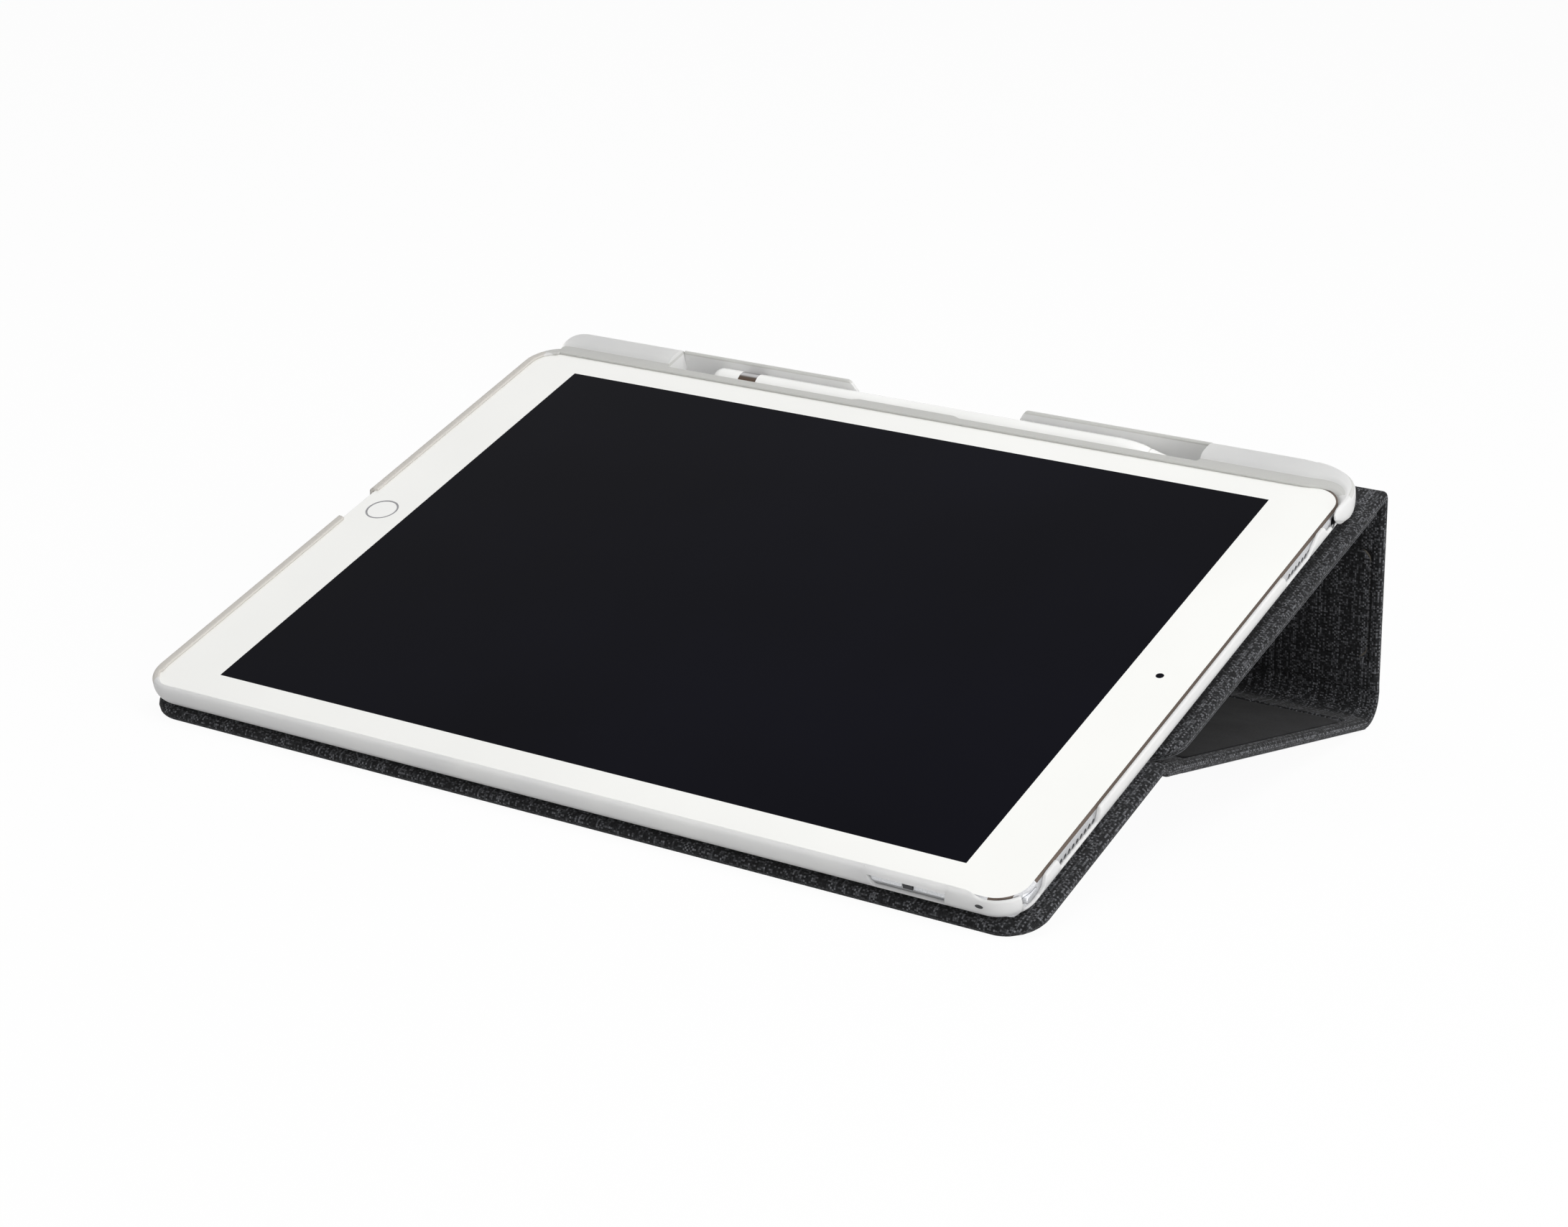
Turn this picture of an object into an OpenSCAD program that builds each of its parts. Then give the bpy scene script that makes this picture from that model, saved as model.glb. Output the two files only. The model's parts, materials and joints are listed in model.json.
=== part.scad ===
// Folio stand case for a large tablet, folded into its low typing pose.
// A clear moulded tray with a stylus holder is bonded to the near panel of a
// woven folio. The back panel, riser and support panel fold into a triangle
// that props the tray up. The tablet and its stylus sit in the tray.
// X runs along the long side, Y from the near edge to the far fold, Z up.

/* [Folio] */
// How far the folio reaches past each end of the tray
cover_margin = 2.65; // [0.5:0.05:8]
// Thickness of a padded panel
panel_t = 3.6; // [3:0.1:5]
// Corner radius of the panels in plan
panel_corner = 12; // [6:1:20]
// Near panel, from its free edge to the near fold
near_len = 84; // [70:1:95]
// How much longer the near and back panels are together than the tray is wide
folio_extra = 13.2; // [1:0.1:25]
// Backward lean of the riser panel, in degrees
riser_lean = 7.4; // [5:0.1:10]
// How far the near panel reaches past the tray's near side
near_margin = 0.3; // [0.1:0.1:4]
// Angle of the tray in the typing pose, in degrees
tilt = 19.1; // [17:0.1:21]
// Radius of the rounded spine, outside
spine_r = 9; // [8:0.5:14]
// Woven border left at both ends of each lining
border = 11; // [6:0.5:16]
// Woven border left along both sides of each lining
side_border = 4; // [3:0.5:10]
// Thickness of the stiffener board in each panel
board_t = 1.6; // [1:0.1:2]
// Thickness of the lining over each board
lining_t = 0.6; // [0.4:0.1:0.9]
// Thickness of the bare fabric at each fold
fold_t = 1.2; // [0.8:0.1:1.6]
// Radius of the rolled fabric bead on each fold axis
bead_r = 1.3; // [1:0.1:1.6]
// Free fabric on each side of a fold, before the board starts
fold_gap = 7; // [5.5:0.5:9]
// Clearance between fabric faces that move past each other
fold_clear = 0.3; // [0.2:0.05:0.5]

/* [Tablet] */
// Length of the tablet
tablet_l = 305.7; // [300:0.1:306.5]
// Width of the tablet
tablet_w = 220.6; // [214:0.1:221]
// Thickness of the tablet
tablet_t = 6.9; // [6:0.1:8]
// Corner radius of the tablet in plan
tablet_corner = 10; // [8:0.5:14]
// Radius of the tablet's rounded back edge
tablet_edge = 4.6; // [3:0.1:5]
// Bright chamfer between the glass and the side
chamfer = 0.7; // [0.4:0.1:1]
// White border at each end of the display
bezel_end = 21.4; // [19:0.1:25]
// White border along each long side of the display
bezel_side = 11.8; // [10:0.1:15]
// Thickness of the cover glass
glass_t = 0.8; // [0.5:0.1:1.2]
// Diameter of the home button, over its ring
home_d = 11.2; // [9:0.1:12]
// Distance of the home button from the tablet's left end
home_inset = 10.5; // [9:0.1:12]
// Distance of the front camera from the tablet's right end
camera_inset = 11.2; // [8:0.1:14]
// Radius of the headphone socket
jack_r = 1.77; // [1.7:0.01:1.8]
// Depth of the headphone socket
jack_depth = 14; // [12:0.5:16]
// Distance of the headphone socket from the far side
jack_inset = 12.3; // [11.5:0.1:13]

/* [Tray] */
// Wall and floor of the clear tray
tray_wall = 1.3; // [1:0.1:1.6]
// Floor of the tray
tray_floor = 0.8; // [0.6:0.1:1.2]
// Clearance round the tablet
tray_clear = 0.1; // [0.05:0.05:0.3]
// How far the lip reaches over the glass at the left end
lip_over = 2.3; // [2:0.1:4.5]
// How far the lip reaches over the glass along the far side
lip_far = 2.4; // [1:0.1:4]
// How far the lip reaches over the glass along the near side
lip_near = 0.8; // [0.4:0.1:2]
// Height of the lip over the glass
lip_t = 0.9; // [0.6:0.1:1.4]
// Radius of the tray's rounded lower edge
tray_edge = 5.6; // [4:0.1:6]
// Bonding pad under the tray
pad_t = 0.2; // [0.1:0.05:0.4]
// Length of the notch in the holder's outer wall
notch_len = 62; // [30:1:90]
// Web between the tray and the stylus channel
holder_gap = 1.25; // [1:0.05:3]
// How far the holder hangs below the tray
holder_drop = 2.7; // [1:0.1:3]
// How far the holder stops short of the tray's left end
holder_short = 6.2; // [3:0.1:10]

/* [Stylus] */
// Diameter of the stylus
stylus_d = 8.9; // [8:0.1:9.2]
// Length of the stylus
stylus_len = 175.7; // [150:0.1:180]
// Gap between the cap's end and the end of the holder's channel
cap_gap = 15; // [2:0.5:18]
// Gap between the tip and the other end of the channel
tip_room = 11.3; // [2:0.1:20]
// Length of the cap
cap_len = 11.6; // [9:0.1:15]
// Length of the bright band
band_len = 7; // [3:0.1:9]
// Length of the tapered tip
tip_len = 20; // [12:0.5:24]
// Clearance round the stylus in the holder
stylus_clear = 0.2; // [0.1:0.05:0.4]

/* [Hidden] */
$fn = 64;
upright = 90;

// Tray and folio outlines
pocket_l = tablet_l + 2 * tray_clear;
pocket_w = tablet_w + 2 * tray_clear;
tray_l = pocket_l + 2 * tray_wall;
tray_w = pocket_w + 2 * tray_wall;
tray_corner = tablet_corner + tray_clear + tray_wall;
rim_chamfer = 0.4;
cover_w = tray_l + 2 * cover_margin;
near_reach = tray_w / 2 + near_margin;
back_len = tray_w - near_len + folio_extra;
display_l = tablet_l - 2 * bezel_end;
display_w = tablet_w - 2 * bezel_side;

// Heights in the tray's own frame, measured from the face of the glass
pad_top = -(tablet_t + tray_floor);        // underside of the tray
deck = pad_top - pad_t;                    // inner face of the near panel

// Stylus holder along the tray's far side
stylus_seat = stylus_d / 2 + stylus_clear;
holder_floor = pad_top - holder_drop;
holder_root = tray_w / 2 - tray_wall;      // where the holder grows from the wall
holder_y = tray_w / 2 + holder_gap + stylus_seat;   // axis of the stylus
stylus_z = holder_floor + tray_floor + stylus_seat;
holder_out = holder_y + stylus_seat + tray_wall;
holder_left = holder_short - tray_l / 2;
holder_right = tray_l / 2;
holder_left_r = 5.5;
holder_right_r = 16;
channel_len = stylus_len + cap_gap + tip_room;
holder_top = 1;                            // rim of the holder's outer wall
block_top = 2.2;                           // the solid ends stand a little higher
block_r = 2.5;
block_set_back = 1.3;                      // lip left beside each solid end
stylus_x = cap_gap - channel_len / 2;

// Side view, as [y, z] measured from the middle of the glass
function from_tray(p) = [p[0] * cos(tilt) - p[1] * sin(tilt), p[0] * sin(tilt) + p[1] * cos(tilt)];
function crossed(a, b) = a[0] * b[1] - a[1] * b[0];
near_edge_c = from_tray([panel_t / 2 - near_reach, deck - panel_t / 2]);
ground = near_edge_c[1] - panel_t / 2;
near_axis = from_tray([near_len - near_reach, deck - panel_t]);
spine_mid_r = spine_r - panel_t / 2;
back_drop = near_axis[1] - ground - spine_r;
back_slope = asin(back_drop / norm([back_len, spine_mid_r])) + atan2(spine_mid_r, back_len);
spine_c = near_axis + back_len * [cos(back_slope), -sin(back_slope)]
                    + spine_mid_r * [sin(back_slope), cos(back_slope)];
riser_axis = spine_c + spine_mid_r * [cos(riser_lean), sin(riser_lean)];
riser_way = [-sin(riser_lean), cos(riser_lean)];

// The support panel rests under the tray at its tip and under the holder at the far side
tip_gap = 1.4;
tip_v = near_len - near_reach + tip_gap;
tip_c = from_tray([tip_v + panel_t / 2, pad_top - fold_clear - panel_t / 2]);
support_fall = atan2(holder_drop, holder_root - tip_v - panel_t / 2);
support_angle = tilt - support_fall;
support_way = [cos(support_angle), sin(support_angle)];
riser_len = crossed(tip_c - riser_axis, support_way) / crossed(riser_way, support_way);
top_axis = riser_axis + riser_len * riser_way;
riser_start = bead_r + fold_clear;
support_len = norm(top_axis - tip_c) + panel_t / 2;

// The origin is under the middle of the whole case, on the surface it stands on
y_low = min(near_edge_c[0] - panel_t / 2, from_tray([-tray_w / 2, lip_t - rim_chamfer])[0]);
y_high = spine_c[0] + spine_r;
y_mid = (y_low + y_high) / 2;
function seat(p) = [0, p[0] - y_mid, p[1] - ground];

// The right-hand wall and the near-right corner stay below the glass
low_wall_x = tablet_l / 2 - 11.8;
jack_room = 3.2;                           // half the opening for the headphone plug
low_wall_far = tablet_w / 2 - jack_inset + jack_room;
low_wall_top = -0.4;

// Small pieces of the tablet
home_x = tablet_l / 2 - home_inset;
camera_x = tablet_l / 2 - camera_inset;
jack_y = tablet_w / 2 - jack_inset;
jack_wall = 0.8;
jack_z = -glass_t - jack_r - jack_wall - 0.1;
side_z = -tablet_t / 2;
button_z = -2.4;
button_h = 2;
button_depth = 1.4;
button_proud = 0.4;
button_travel = 0.3;
volume_len = 10.2;
volume_x = tablet_l / 2 - 33.1;            // middle of the opening for both keys
volume_up_x = volume_x - 6.8;
volume_down_x = volume_x + 6.8;
power_y = 8.3 - tablet_w / 2;
power_len = 6.4;
mic_x = tablet_l / 2 - 11.8;
mic_z = -3.4;
mic_r = 0.7;
home_depth = 1.6;
home_travel = 0.3;
ring_w = 0.6;
camera_d = 2.5;
port_w = 9;
port_h = 3;
port_depth = 7;
speaker_y = tablet_w / 2 - 35.3;
speaker_r = 0.8;
speaker_step = 2.4;
speaker_depth = 1.6;
far_cut = 1000;                            // longer than any piece

// Reusable shapes

module at_tray() {
    translate(seat([0, 0])) rotate([tilt, 0, 0]) children();
}

module from_axis(p, angle) {
    translate(seat(p)) rotate([angle, 0, 0]) children();
}

// Carries a [y, z] outline across the width, in the middle of X
module across(width) {
    rotate([90, 0, 90]) linear_extrude(width, center = true) children();
}

// Rectangle with its own corner radius at each end of Y
module rounded_plan(x0, x1, y0, y1, r0, r1) {
    translate([x0, y0 + r0]) square([x1 - x0, y1 - y0 - r0 - r1]);
    for (end = [[y0 + r0, r0, y0], [y1 - r1, r1, y1 - r1]])
        if (end[1] > 0) {
            translate([x0 + end[1], end[2]]) square([x1 - x0 - 2 * end[1], end[1]]);
            for (x = [x0 + end[1], x1 - end[1]]) translate([x, end[0]]) circle(end[1]);
        }
}

module stadium(a0, a1, t) {
    translate([a0 + t / 2, -t / 2]) square([a1 - a0 - t, t]);
    translate([a0 + t / 2, 0]) circle(t / 2);
    translate([a1 - t / 2, 0]) circle(t / 2);
}

// Padded panel with rolled edges: y0 to y1, with corner radii at each end
module slab(y0, y1, r0, r1) {
    intersection() {
        across(cover_w + 2) stadium(y0, y1, panel_t);
        translate([0, 0, -panel_t]) linear_extrude(2 * panel_t)
            rounded_plan(-cover_w / 2, cover_w / 2, y0, y1, r0, r1);
        rotate([90, 0, 0]) linear_extrude(far_cut, center = true) stadium(-cover_w / 2, cover_w / 2, panel_t);
    }
}

// Recess for the board and lining, open on the inner face
module inset(y0, y1, z0, z1) {
    translate([0, 0, z0]) linear_extrude(z1 - z0)
        rounded_plan(side_border - cover_w / 2, cover_w / 2 - side_border, y0 + border, y1 - border, 4, 4);
}

module cover(y0, y1, r0, r1, run_on = 0) {
    difference() {
        slab(y0, y1 + run_on, r0, r1);
        inset(y0, y1, panel_t / 2 - lining_t - board_t, panel_t);
    }
}

module board(y0, y1) {
    inset(y0, y1, panel_t / 2 - lining_t - board_t, panel_t / 2 - lining_t);
}

module lining(y0, y1) {
    inset(y0, y1, panel_t / 2 - lining_t, panel_t / 2);
}

// Bare fabric from a panel's rolled edge to the bead on the fold axis
module tab(y0, y1) {
    translate([-cover_w / 2 + panel_t / 2, y0, -fold_t / 2]) cube([cover_w - panel_t, y1 - y0, fold_t]);
}

module near_tab() { tab(0, fold_gap + panel_t / 2); }

module top_tab() { tab(riser_len - fold_gap - panel_t / 2, riser_len); }

module bead() {
    rotate([0, 90, 0]) cylinder(r = bead_r, h = cover_w - panel_t, center = true);
}

// Folio

module on_back() { from_axis(near_axis, -back_slope) children(); }
module on_riser() { from_axis(riser_axis, upright + riser_lean) children(); }
module on_support() { from_axis(top_axis, 180 + support_angle) children(); }

// The far end is cut square, where the spine takes over, and the fold's fabric runs into the near end
module back_panel() {
    color("#2b2b2d") on_back() difference() {
        cover(fold_gap, back_len, panel_t, 0, panel_t);
        translate([-cover_w, back_len, -panel_t]) cube([2 * cover_w, 3 * panel_t, 2 * panel_t]);
        near_tab();
    }
}

module back_board() {
    color("#6b6459") on_back() board(fold_gap, back_len);
}

module back_lining() {
    color("#161617") on_back() lining(fold_gap, back_len);
}

module near_fold() {
    color("#2b2b2d") on_back() {
        bead();
        near_tab();
    }
}

module spine() {
    start = -90 - back_slope;
    color("#2b2b2d") {
        from_axis(spine_c, 0) across(cover_w - 1) difference() {
            circle(spine_r);
            circle(spine_r - panel_t);
            rotate(riser_lean) translate([-2 * spine_r, 0]) square(4 * spine_r);
            rotate(start) translate([-2 * spine_r, -4 * spine_r]) square(4 * spine_r);
        }
        on_riser() bead();
    }
}

module riser_panel() {
    color("#2b2b2d") on_riser() difference() {
        cover(riser_start, riser_len - fold_gap, 1, 1);
        top_tab();
    }
}

module riser_board() {
    color("#6b6459") on_riser() board(riser_start, riser_len - fold_gap);
}

module riser_lining() {
    color("#232325") on_riser() lining(riser_start, riser_len - fold_gap);
}

module top_fold() {
    color("#2b2b2d") on_riser() {
        translate([0, riser_len, 0]) bead();
        top_tab();
    }
}

module support_panel() {
    color("#2b2b2d") on_support() {
        cover(fold_gap, support_len, 1, panel_corner);
        tab(bead_r + fold_clear + 1, fold_gap + panel_t / 2);
    }
}

module support_board() {
    color("#6b6459") on_support() board(fold_gap, support_len);
}

module support_lining() {
    color("#161617") on_support() lining(fold_gap, support_len);
}

// Near panel and tray

module on_near() { at_tray() translate([0, -near_reach, deck - panel_t / 2]) children(); }

// The panel's folding end is hollowed round the fold's bead
module near_panel() {
    color("#2b2b2d") difference() {
        on_near() cover(0, near_len, panel_corner, 1, 0);
        from_axis(near_axis, 0) rotate([0, 90, 0])
            cylinder(r = bead_r + 2 * fold_clear, h = 2 * cover_w, center = true);
    }
}

module near_board() {
    color("#6b6459") on_near() board(0, near_len);
}

module near_lining() {
    color("#161617") on_near() lining(0, near_len);
}

module bonding_pad() {
    inset_by = border + 4;
    color("#8f9194") at_tray() translate([0, 0, deck]) linear_extrude(pad_t)
        rounded_plan(inset_by - cover_w / 2, cover_w / 2 - inset_by,
                     inset_by - near_reach, near_len - near_reach - inset_by, 3, 3);
}

// Section of a shallow tub: rounded below, chamfered above
module tub_section(width, z0, z1, r, c) {
    a = width / 2;
    polygon([[-a, z0 + r], [a, z0 + r], [a, z1 - c], [a - c, z1], [c - a, z1], [-a, z1 - c]]);
    translate([r - a, z0]) square([width - 2 * r, r]);
    for (s = [-1, 1]) translate([s * (a - r), z0 + r]) circle(r);
}

module tub(l, w, z0, z1, r_plan, r_edge, c = 0) {
    intersection() {
        translate([0, 0, z0 - 1]) linear_extrude(z1 - z0 + 1)
            rounded_plan(-l / 2, l / 2, -w / 2, w / 2, r_plan, r_plan);
        across(l + 2) tub_section(w, z0, z1, r_edge, c);
        rotate([90, 0, 0]) linear_extrude(w + 2, center = true) tub_section(l, z0, z1, r_edge, c);
    }
}

// Opening in a wall, narrower at its foot: middle, length, lowest height and reach through the wall
module side_gap(middle, length, foot, depth, slope = 2.5, top = lip_t + 4) {
    half = length / 2;
    rotate([90, 0, 90]) translate([middle, 0]) linear_extrude(depth, center = true)
        polygon([[slope - half, foot], [half - slope, foot], [half + 1, top], [-half - 1, top]]);
}

// Section of the holder under its rim, rounded below round the stylus
module holder_section() {
    outer_r = stylus_seat + tray_wall;
    translate([holder_root, holder_floor]) square([holder_y - holder_root, holder_top - holder_floor]);
    translate([holder_y, stylus_z]) square([outer_r, holder_top - stylus_z]);
    intersection() {
        translate([holder_y, stylus_z]) circle(outer_r);
        translate([holder_y, holder_floor]) square(2 * outer_r);
    }
}

// The solid ends stand a little over the rim, with rounded top edges
module block_section() {
    y0 = tray_w / 2 + block_set_back;
    z = block_top - block_r;
    holder_section();
    translate([y0 + block_r, z]) square([holder_out - y0 - 2 * block_r, block_r]);
    for (y = [y0 + block_r, holder_out - block_r]) translate([y, z]) circle(block_r);
}

// Outline of the holder in plan: its left end stops short, and its right end rounds the tray's corner
module holder_plan() {
    y0 = low_wall_far - tray_wall;
    length = holder_right - holder_left;
    translate([holder_left, y0]) square([length, holder_out - holder_right_r - y0]);
    translate([holder_left + holder_left_r, y0])
        square([length - holder_left_r - holder_right_r, holder_out - y0]);
    translate([holder_left, y0]) square([length / 2, holder_out - holder_left_r - y0]);
    translate([holder_left + holder_left_r, holder_out - holder_left_r]) circle(holder_left_r);
    translate([holder_right - holder_right_r, holder_out - holder_right_r]) circle(holder_right_r);
}

// The far-right corner is filled out to the holder's outline, down to the end of the low wall
module corner_section() {
    intersection() {
        tub_section(tray_l, pad_top, block_top, tray_edge, 1);
        translate([tray_l / 2 - tray_corner, 2 * pad_top]) square([2 * tray_corner, 4 * tray_corner]);
    }
}

module holder_body() {
    y0 = low_wall_far - tray_wall;
    intersection() {
        translate([0, 0, holder_floor - 1]) linear_extrude(block_top - holder_floor + 2) holder_plan();
        union() {
            across(channel_len + 1) holder_section();
            for (s = [-1, 1]) translate([s * (tray_l + channel_len) / 4, 0, 0])
                across((tray_l - channel_len) / 2) block_section();
            translate([0, holder_root + 1, 0]) rotate([90, 0, 0])
                linear_extrude(holder_root + 1 - y0) corner_section();
        }
    }
}

// Straight-sided channel that the stylus lifts out of, and the notch in the outer wall
module holder_channel() {
    room = 20;
    translate([0, holder_y, stylus_z]) {
        rotate([0, 90, 0]) cylinder(r = stylus_seat, h = channel_len, center = true);
        translate([-channel_len / 2, -stylus_seat, 0]) cube([channel_len, 2 * stylus_seat, room]);
    }
    translate([0, holder_out, 0]) rotate([90, 0, 0]) linear_extrude(2 * tray_wall + 0.6, center = true)
        polygon([[3 - notch_len / 2, stylus_z - 0.5], [notch_len / 2 - 3, stylus_z - 0.5],
                 [notch_len / 2 + 2, holder_top + 3], [-notch_len / 2 - 2, holder_top + 3]]);
}

module clear_tray() {
    rim = tablet_l / 2 - lip_over;
    glass_gap = 0.05;
    room = 20;
    color([0.86, 0.87, 0.87, 0.5]) at_tray() difference() {
        union() {
            tub(tray_l, tray_w, pad_top, lip_t, tray_corner, tray_edge, rim_chamfer);
            holder_body();
        }
        tub(pocket_l, pocket_w, -tablet_t, glass_gap, tablet_corner + tray_clear, tablet_edge);
        linear_extrude(room) rounded_plan(-rim, rim, lip_near - tablet_w / 2, tablet_w / 2 - lip_far, 8, 8);
        translate([low_wall_x, -tray_w, low_wall_top]) cube([2 * room, tray_w + low_wall_far, room]);
        holder_channel();
        translate([tray_l / 2, 0, 0]) {
            side_gap(power_y, power_len + 1.8, -5.4, 12, 0.4);
            side_gap(-speaker_y, 26, -5.6, 12);
            side_gap(speaker_y, 30, -5.6, 12);
        }
        translate([tray_l / 2, jack_y, jack_z]) {
            rotate([0, 90, 0]) cylinder(r = jack_room, h = 12, center = true);
            translate([-6, -jack_room, 0]) cube([12, 2 * jack_room, room]);
        }
        translate([-tray_l / 2, 0, 0]) side_gap(0, 17.6, -6, 18);
        translate([volume_x, -tray_w / 2, 0]) rotate(90) side_gap(0, 24.8, -6, 18, 1.6, -1.1);
        translate([mic_x, -tray_w / 2, mic_z]) rotate([90, 0, 0]) cylinder(r = 0.9, h = 8, center = true);
    }
}

// Tablet

module pill(length, height) {
    square([length - height, height], center = true);
    for (s = [-1, 1]) translate([s * (length - height) / 2, 0]) circle(height / 2);
}

// Carries an outline into the near side, at X and Z, from depth a to depth b
module near_side(x, z, a, b) {
    translate([x, -tablet_w / 2 + b, z]) rotate([90, 0, 0]) linear_extrude(b - a) children();
}

// The same on the right-hand side, at Y and Z
module right_side(y, z, a, b) {
    translate([tablet_l / 2 - b, y, z]) rotate([90, 0, 90]) linear_extrude(b - a) children();
}

module left_side(y, z, a, b) {
    translate([a - tablet_l / 2, y, z]) rotate([90, 0, 90]) linear_extrude(b - a) children();
}

module speaker_holes(depth0, depth1, r) {
    for (s = [-1, 1], k = [-4:4]) right_side(s * speaker_y + k * speaker_step, side_z, depth0, depth1) circle(r);
}

module tablet_body() {
    glass_l = tablet_l - 2 * chamfer;
    glass_w = tablet_w - 2 * chamfer;
    color("#c9cacc") at_tray() difference() {
        tub(tablet_l, tablet_w, -tablet_t, 0, tablet_corner, tablet_edge, chamfer);
        translate([0, 0, -glass_t]) linear_extrude(2 * glass_t)
            rounded_plan(-glass_l / 2, glass_l / 2, -glass_w / 2, glass_w / 2,
                         tablet_corner - chamfer, tablet_corner - chamfer);
        translate([-home_x, 0, -home_depth]) cylinder(d = home_d, h = home_depth);
        for (x = [volume_up_x, volume_down_x])
            near_side(x, button_z, -1, button_depth) pill(volume_len + 0.2, button_h + 0.2);
        right_side(power_y, button_z, -1, button_depth) pill(power_len + 0.2, button_h + 0.2);
        left_side(0, side_z, -1, port_depth) pill(port_w, port_h);
        translate([tablet_l / 2 + 1, jack_y, jack_z]) rotate([0, -90, 0])
            cylinder(r = jack_r + jack_wall, h = jack_depth + 1);
        speaker_holes(-1, speaker_depth, speaker_r);
        near_side(mic_x, mic_z, -1, 1.2) circle(mic_r);
    }
}

module display_glass() {
    glass_l = tablet_l - 2 * chamfer;
    glass_w = tablet_w - 2 * chamfer;
    color("#f6f6f4") at_tray() difference() {
        translate([0, 0, -glass_t]) linear_extrude(glass_t)
            rounded_plan(-glass_l / 2, glass_l / 2, -glass_w / 2, glass_w / 2,
                         tablet_corner - chamfer, tablet_corner - chamfer);
        cube([display_l, display_w, 3], center = true);
        translate([-home_x, 0, -2]) cylinder(d = home_d, h = 4);
        translate([camera_x, 0, -2]) cylinder(d = camera_d, h = 4);
    }
}

module display_panel() {
    color("#141518") at_tray() translate([-display_l / 2, -display_w / 2, -glass_t])
        cube([display_l, display_w, glass_t]);
}

module home_ring() {
    color("#b9babc") at_tray() translate([-home_x, 0, -home_depth]) difference() {
        cylinder(d = home_d, h = home_depth);
        translate([0, 0, 0.4]) cylinder(d = home_d - 2 * ring_w, h = 3);
    }
}

module home_button() {
    color("#f2f2f0") at_tray() translate([-home_x, 0, -home_depth + 0.4 + home_travel])
        cylinder(d = home_d - 2 * ring_w - 0.1, h = home_depth - 0.4 - home_travel - 0.05);
}

module front_camera() {
    color("#1b1b1f") at_tray() translate([camera_x, 0, -glass_t]) cylinder(d = camera_d, h = glass_t);
}

module side_button(length) {
    pill(length, button_h);
}

module volume_up() {
    color("#c9cacc") at_tray()
        near_side(volume_up_x, button_z, -button_proud, button_depth - button_travel) side_button(volume_len);
}

module volume_down() {
    color("#c9cacc") at_tray()
        near_side(volume_down_x, button_z, -button_proud, button_depth - button_travel) side_button(volume_len);
}

module power_button() {
    color("#c9cacc") at_tray()
        right_side(power_y, button_z, -button_proud, button_depth - button_travel) side_button(power_len);
}

module charging_port() {
    color("#3a3b3d") at_tray() difference() {
        left_side(0, side_z, 0.1, port_depth) pill(port_w, port_h);
        left_side(0, side_z, -1, port_depth - 0.8) pill(port_w - 0.8, port_h - 0.8);
    }
}

module headphone_jack() {
    color("#3a3b3d") at_tray() translate([tablet_l / 2 - jack_depth, jack_y, jack_z]) rotate([0, 90, 0])
        difference() {
            cylinder(r = jack_r + jack_wall, h = jack_depth);
            translate([0, 0, -1]) cylinder(r = jack_r, h = jack_depth + 2);
        }
}

module speaker_grilles() {
    color("#2a2b2d") at_tray() speaker_holes(0.6, speaker_depth, speaker_r);
}

module microphone() {
    color("#2a2b2d") at_tray() near_side(mic_x, mic_z, 0.5, 1.2) circle(mic_r);
}

// Stylus, lying in the holder with its cap to the left

module on_stylus() { at_tray() translate([stylus_x, holder_y, stylus_z]) rotate([0, 90, 0]) children(); }

module stylus_cap() {
    color("#f4f4f2") on_stylus() rotate_extrude() {
        square([stylus_d / 2 - 2, cap_len]);
        translate([0, 2]) square([stylus_d / 2, cap_len - 2]);
        translate([stylus_d / 2 - 2, 2]) circle(2);
    }
}

module stylus_band() {
    color("#cfd0d2") on_stylus() translate([0, 0, cap_len]) cylinder(d = stylus_d, h = band_len);
}

module stylus_barrel() {
    start = cap_len + band_len;
    color("#f4f4f2") on_stylus() translate([0, 0, start])
        cylinder(d = stylus_d, h = stylus_len - tip_len - start);
}

module stylus_tip() {
    nib = 0.8;
    color("#f4f4f2") on_stylus() translate([0, 0, stylus_len - tip_len]) rotate_extrude()
        polygon([[0, 0], [stylus_d / 2, 0], [stylus_d / 2 - 0.5, 5], [2.2, tip_len - 5], [nib + 0.5, tip_len - 1.2],
                 [nib, tip_len - 0.3], [0, tip_len]]);
}

back_panel();
back_board();
back_lining();
spine();
near_fold();
riser_panel();
riser_board();
riser_lining();
top_fold();
support_panel();
support_board();
support_lining();
near_panel();
near_board();
near_lining();
bonding_pad();
clear_tray();
tablet_body();
display_glass();
display_panel();
home_ring();
home_button();
front_camera();
volume_up();
volume_down();
power_button();
charging_port();
headphone_jack();
speaker_grilles();
microphone();
stylus_barrel();
stylus_band();
stylus_cap();
stylus_tip();
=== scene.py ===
import json
import math

import bpy
import numpy as np
from mathutils import Matrix, Vector


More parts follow.
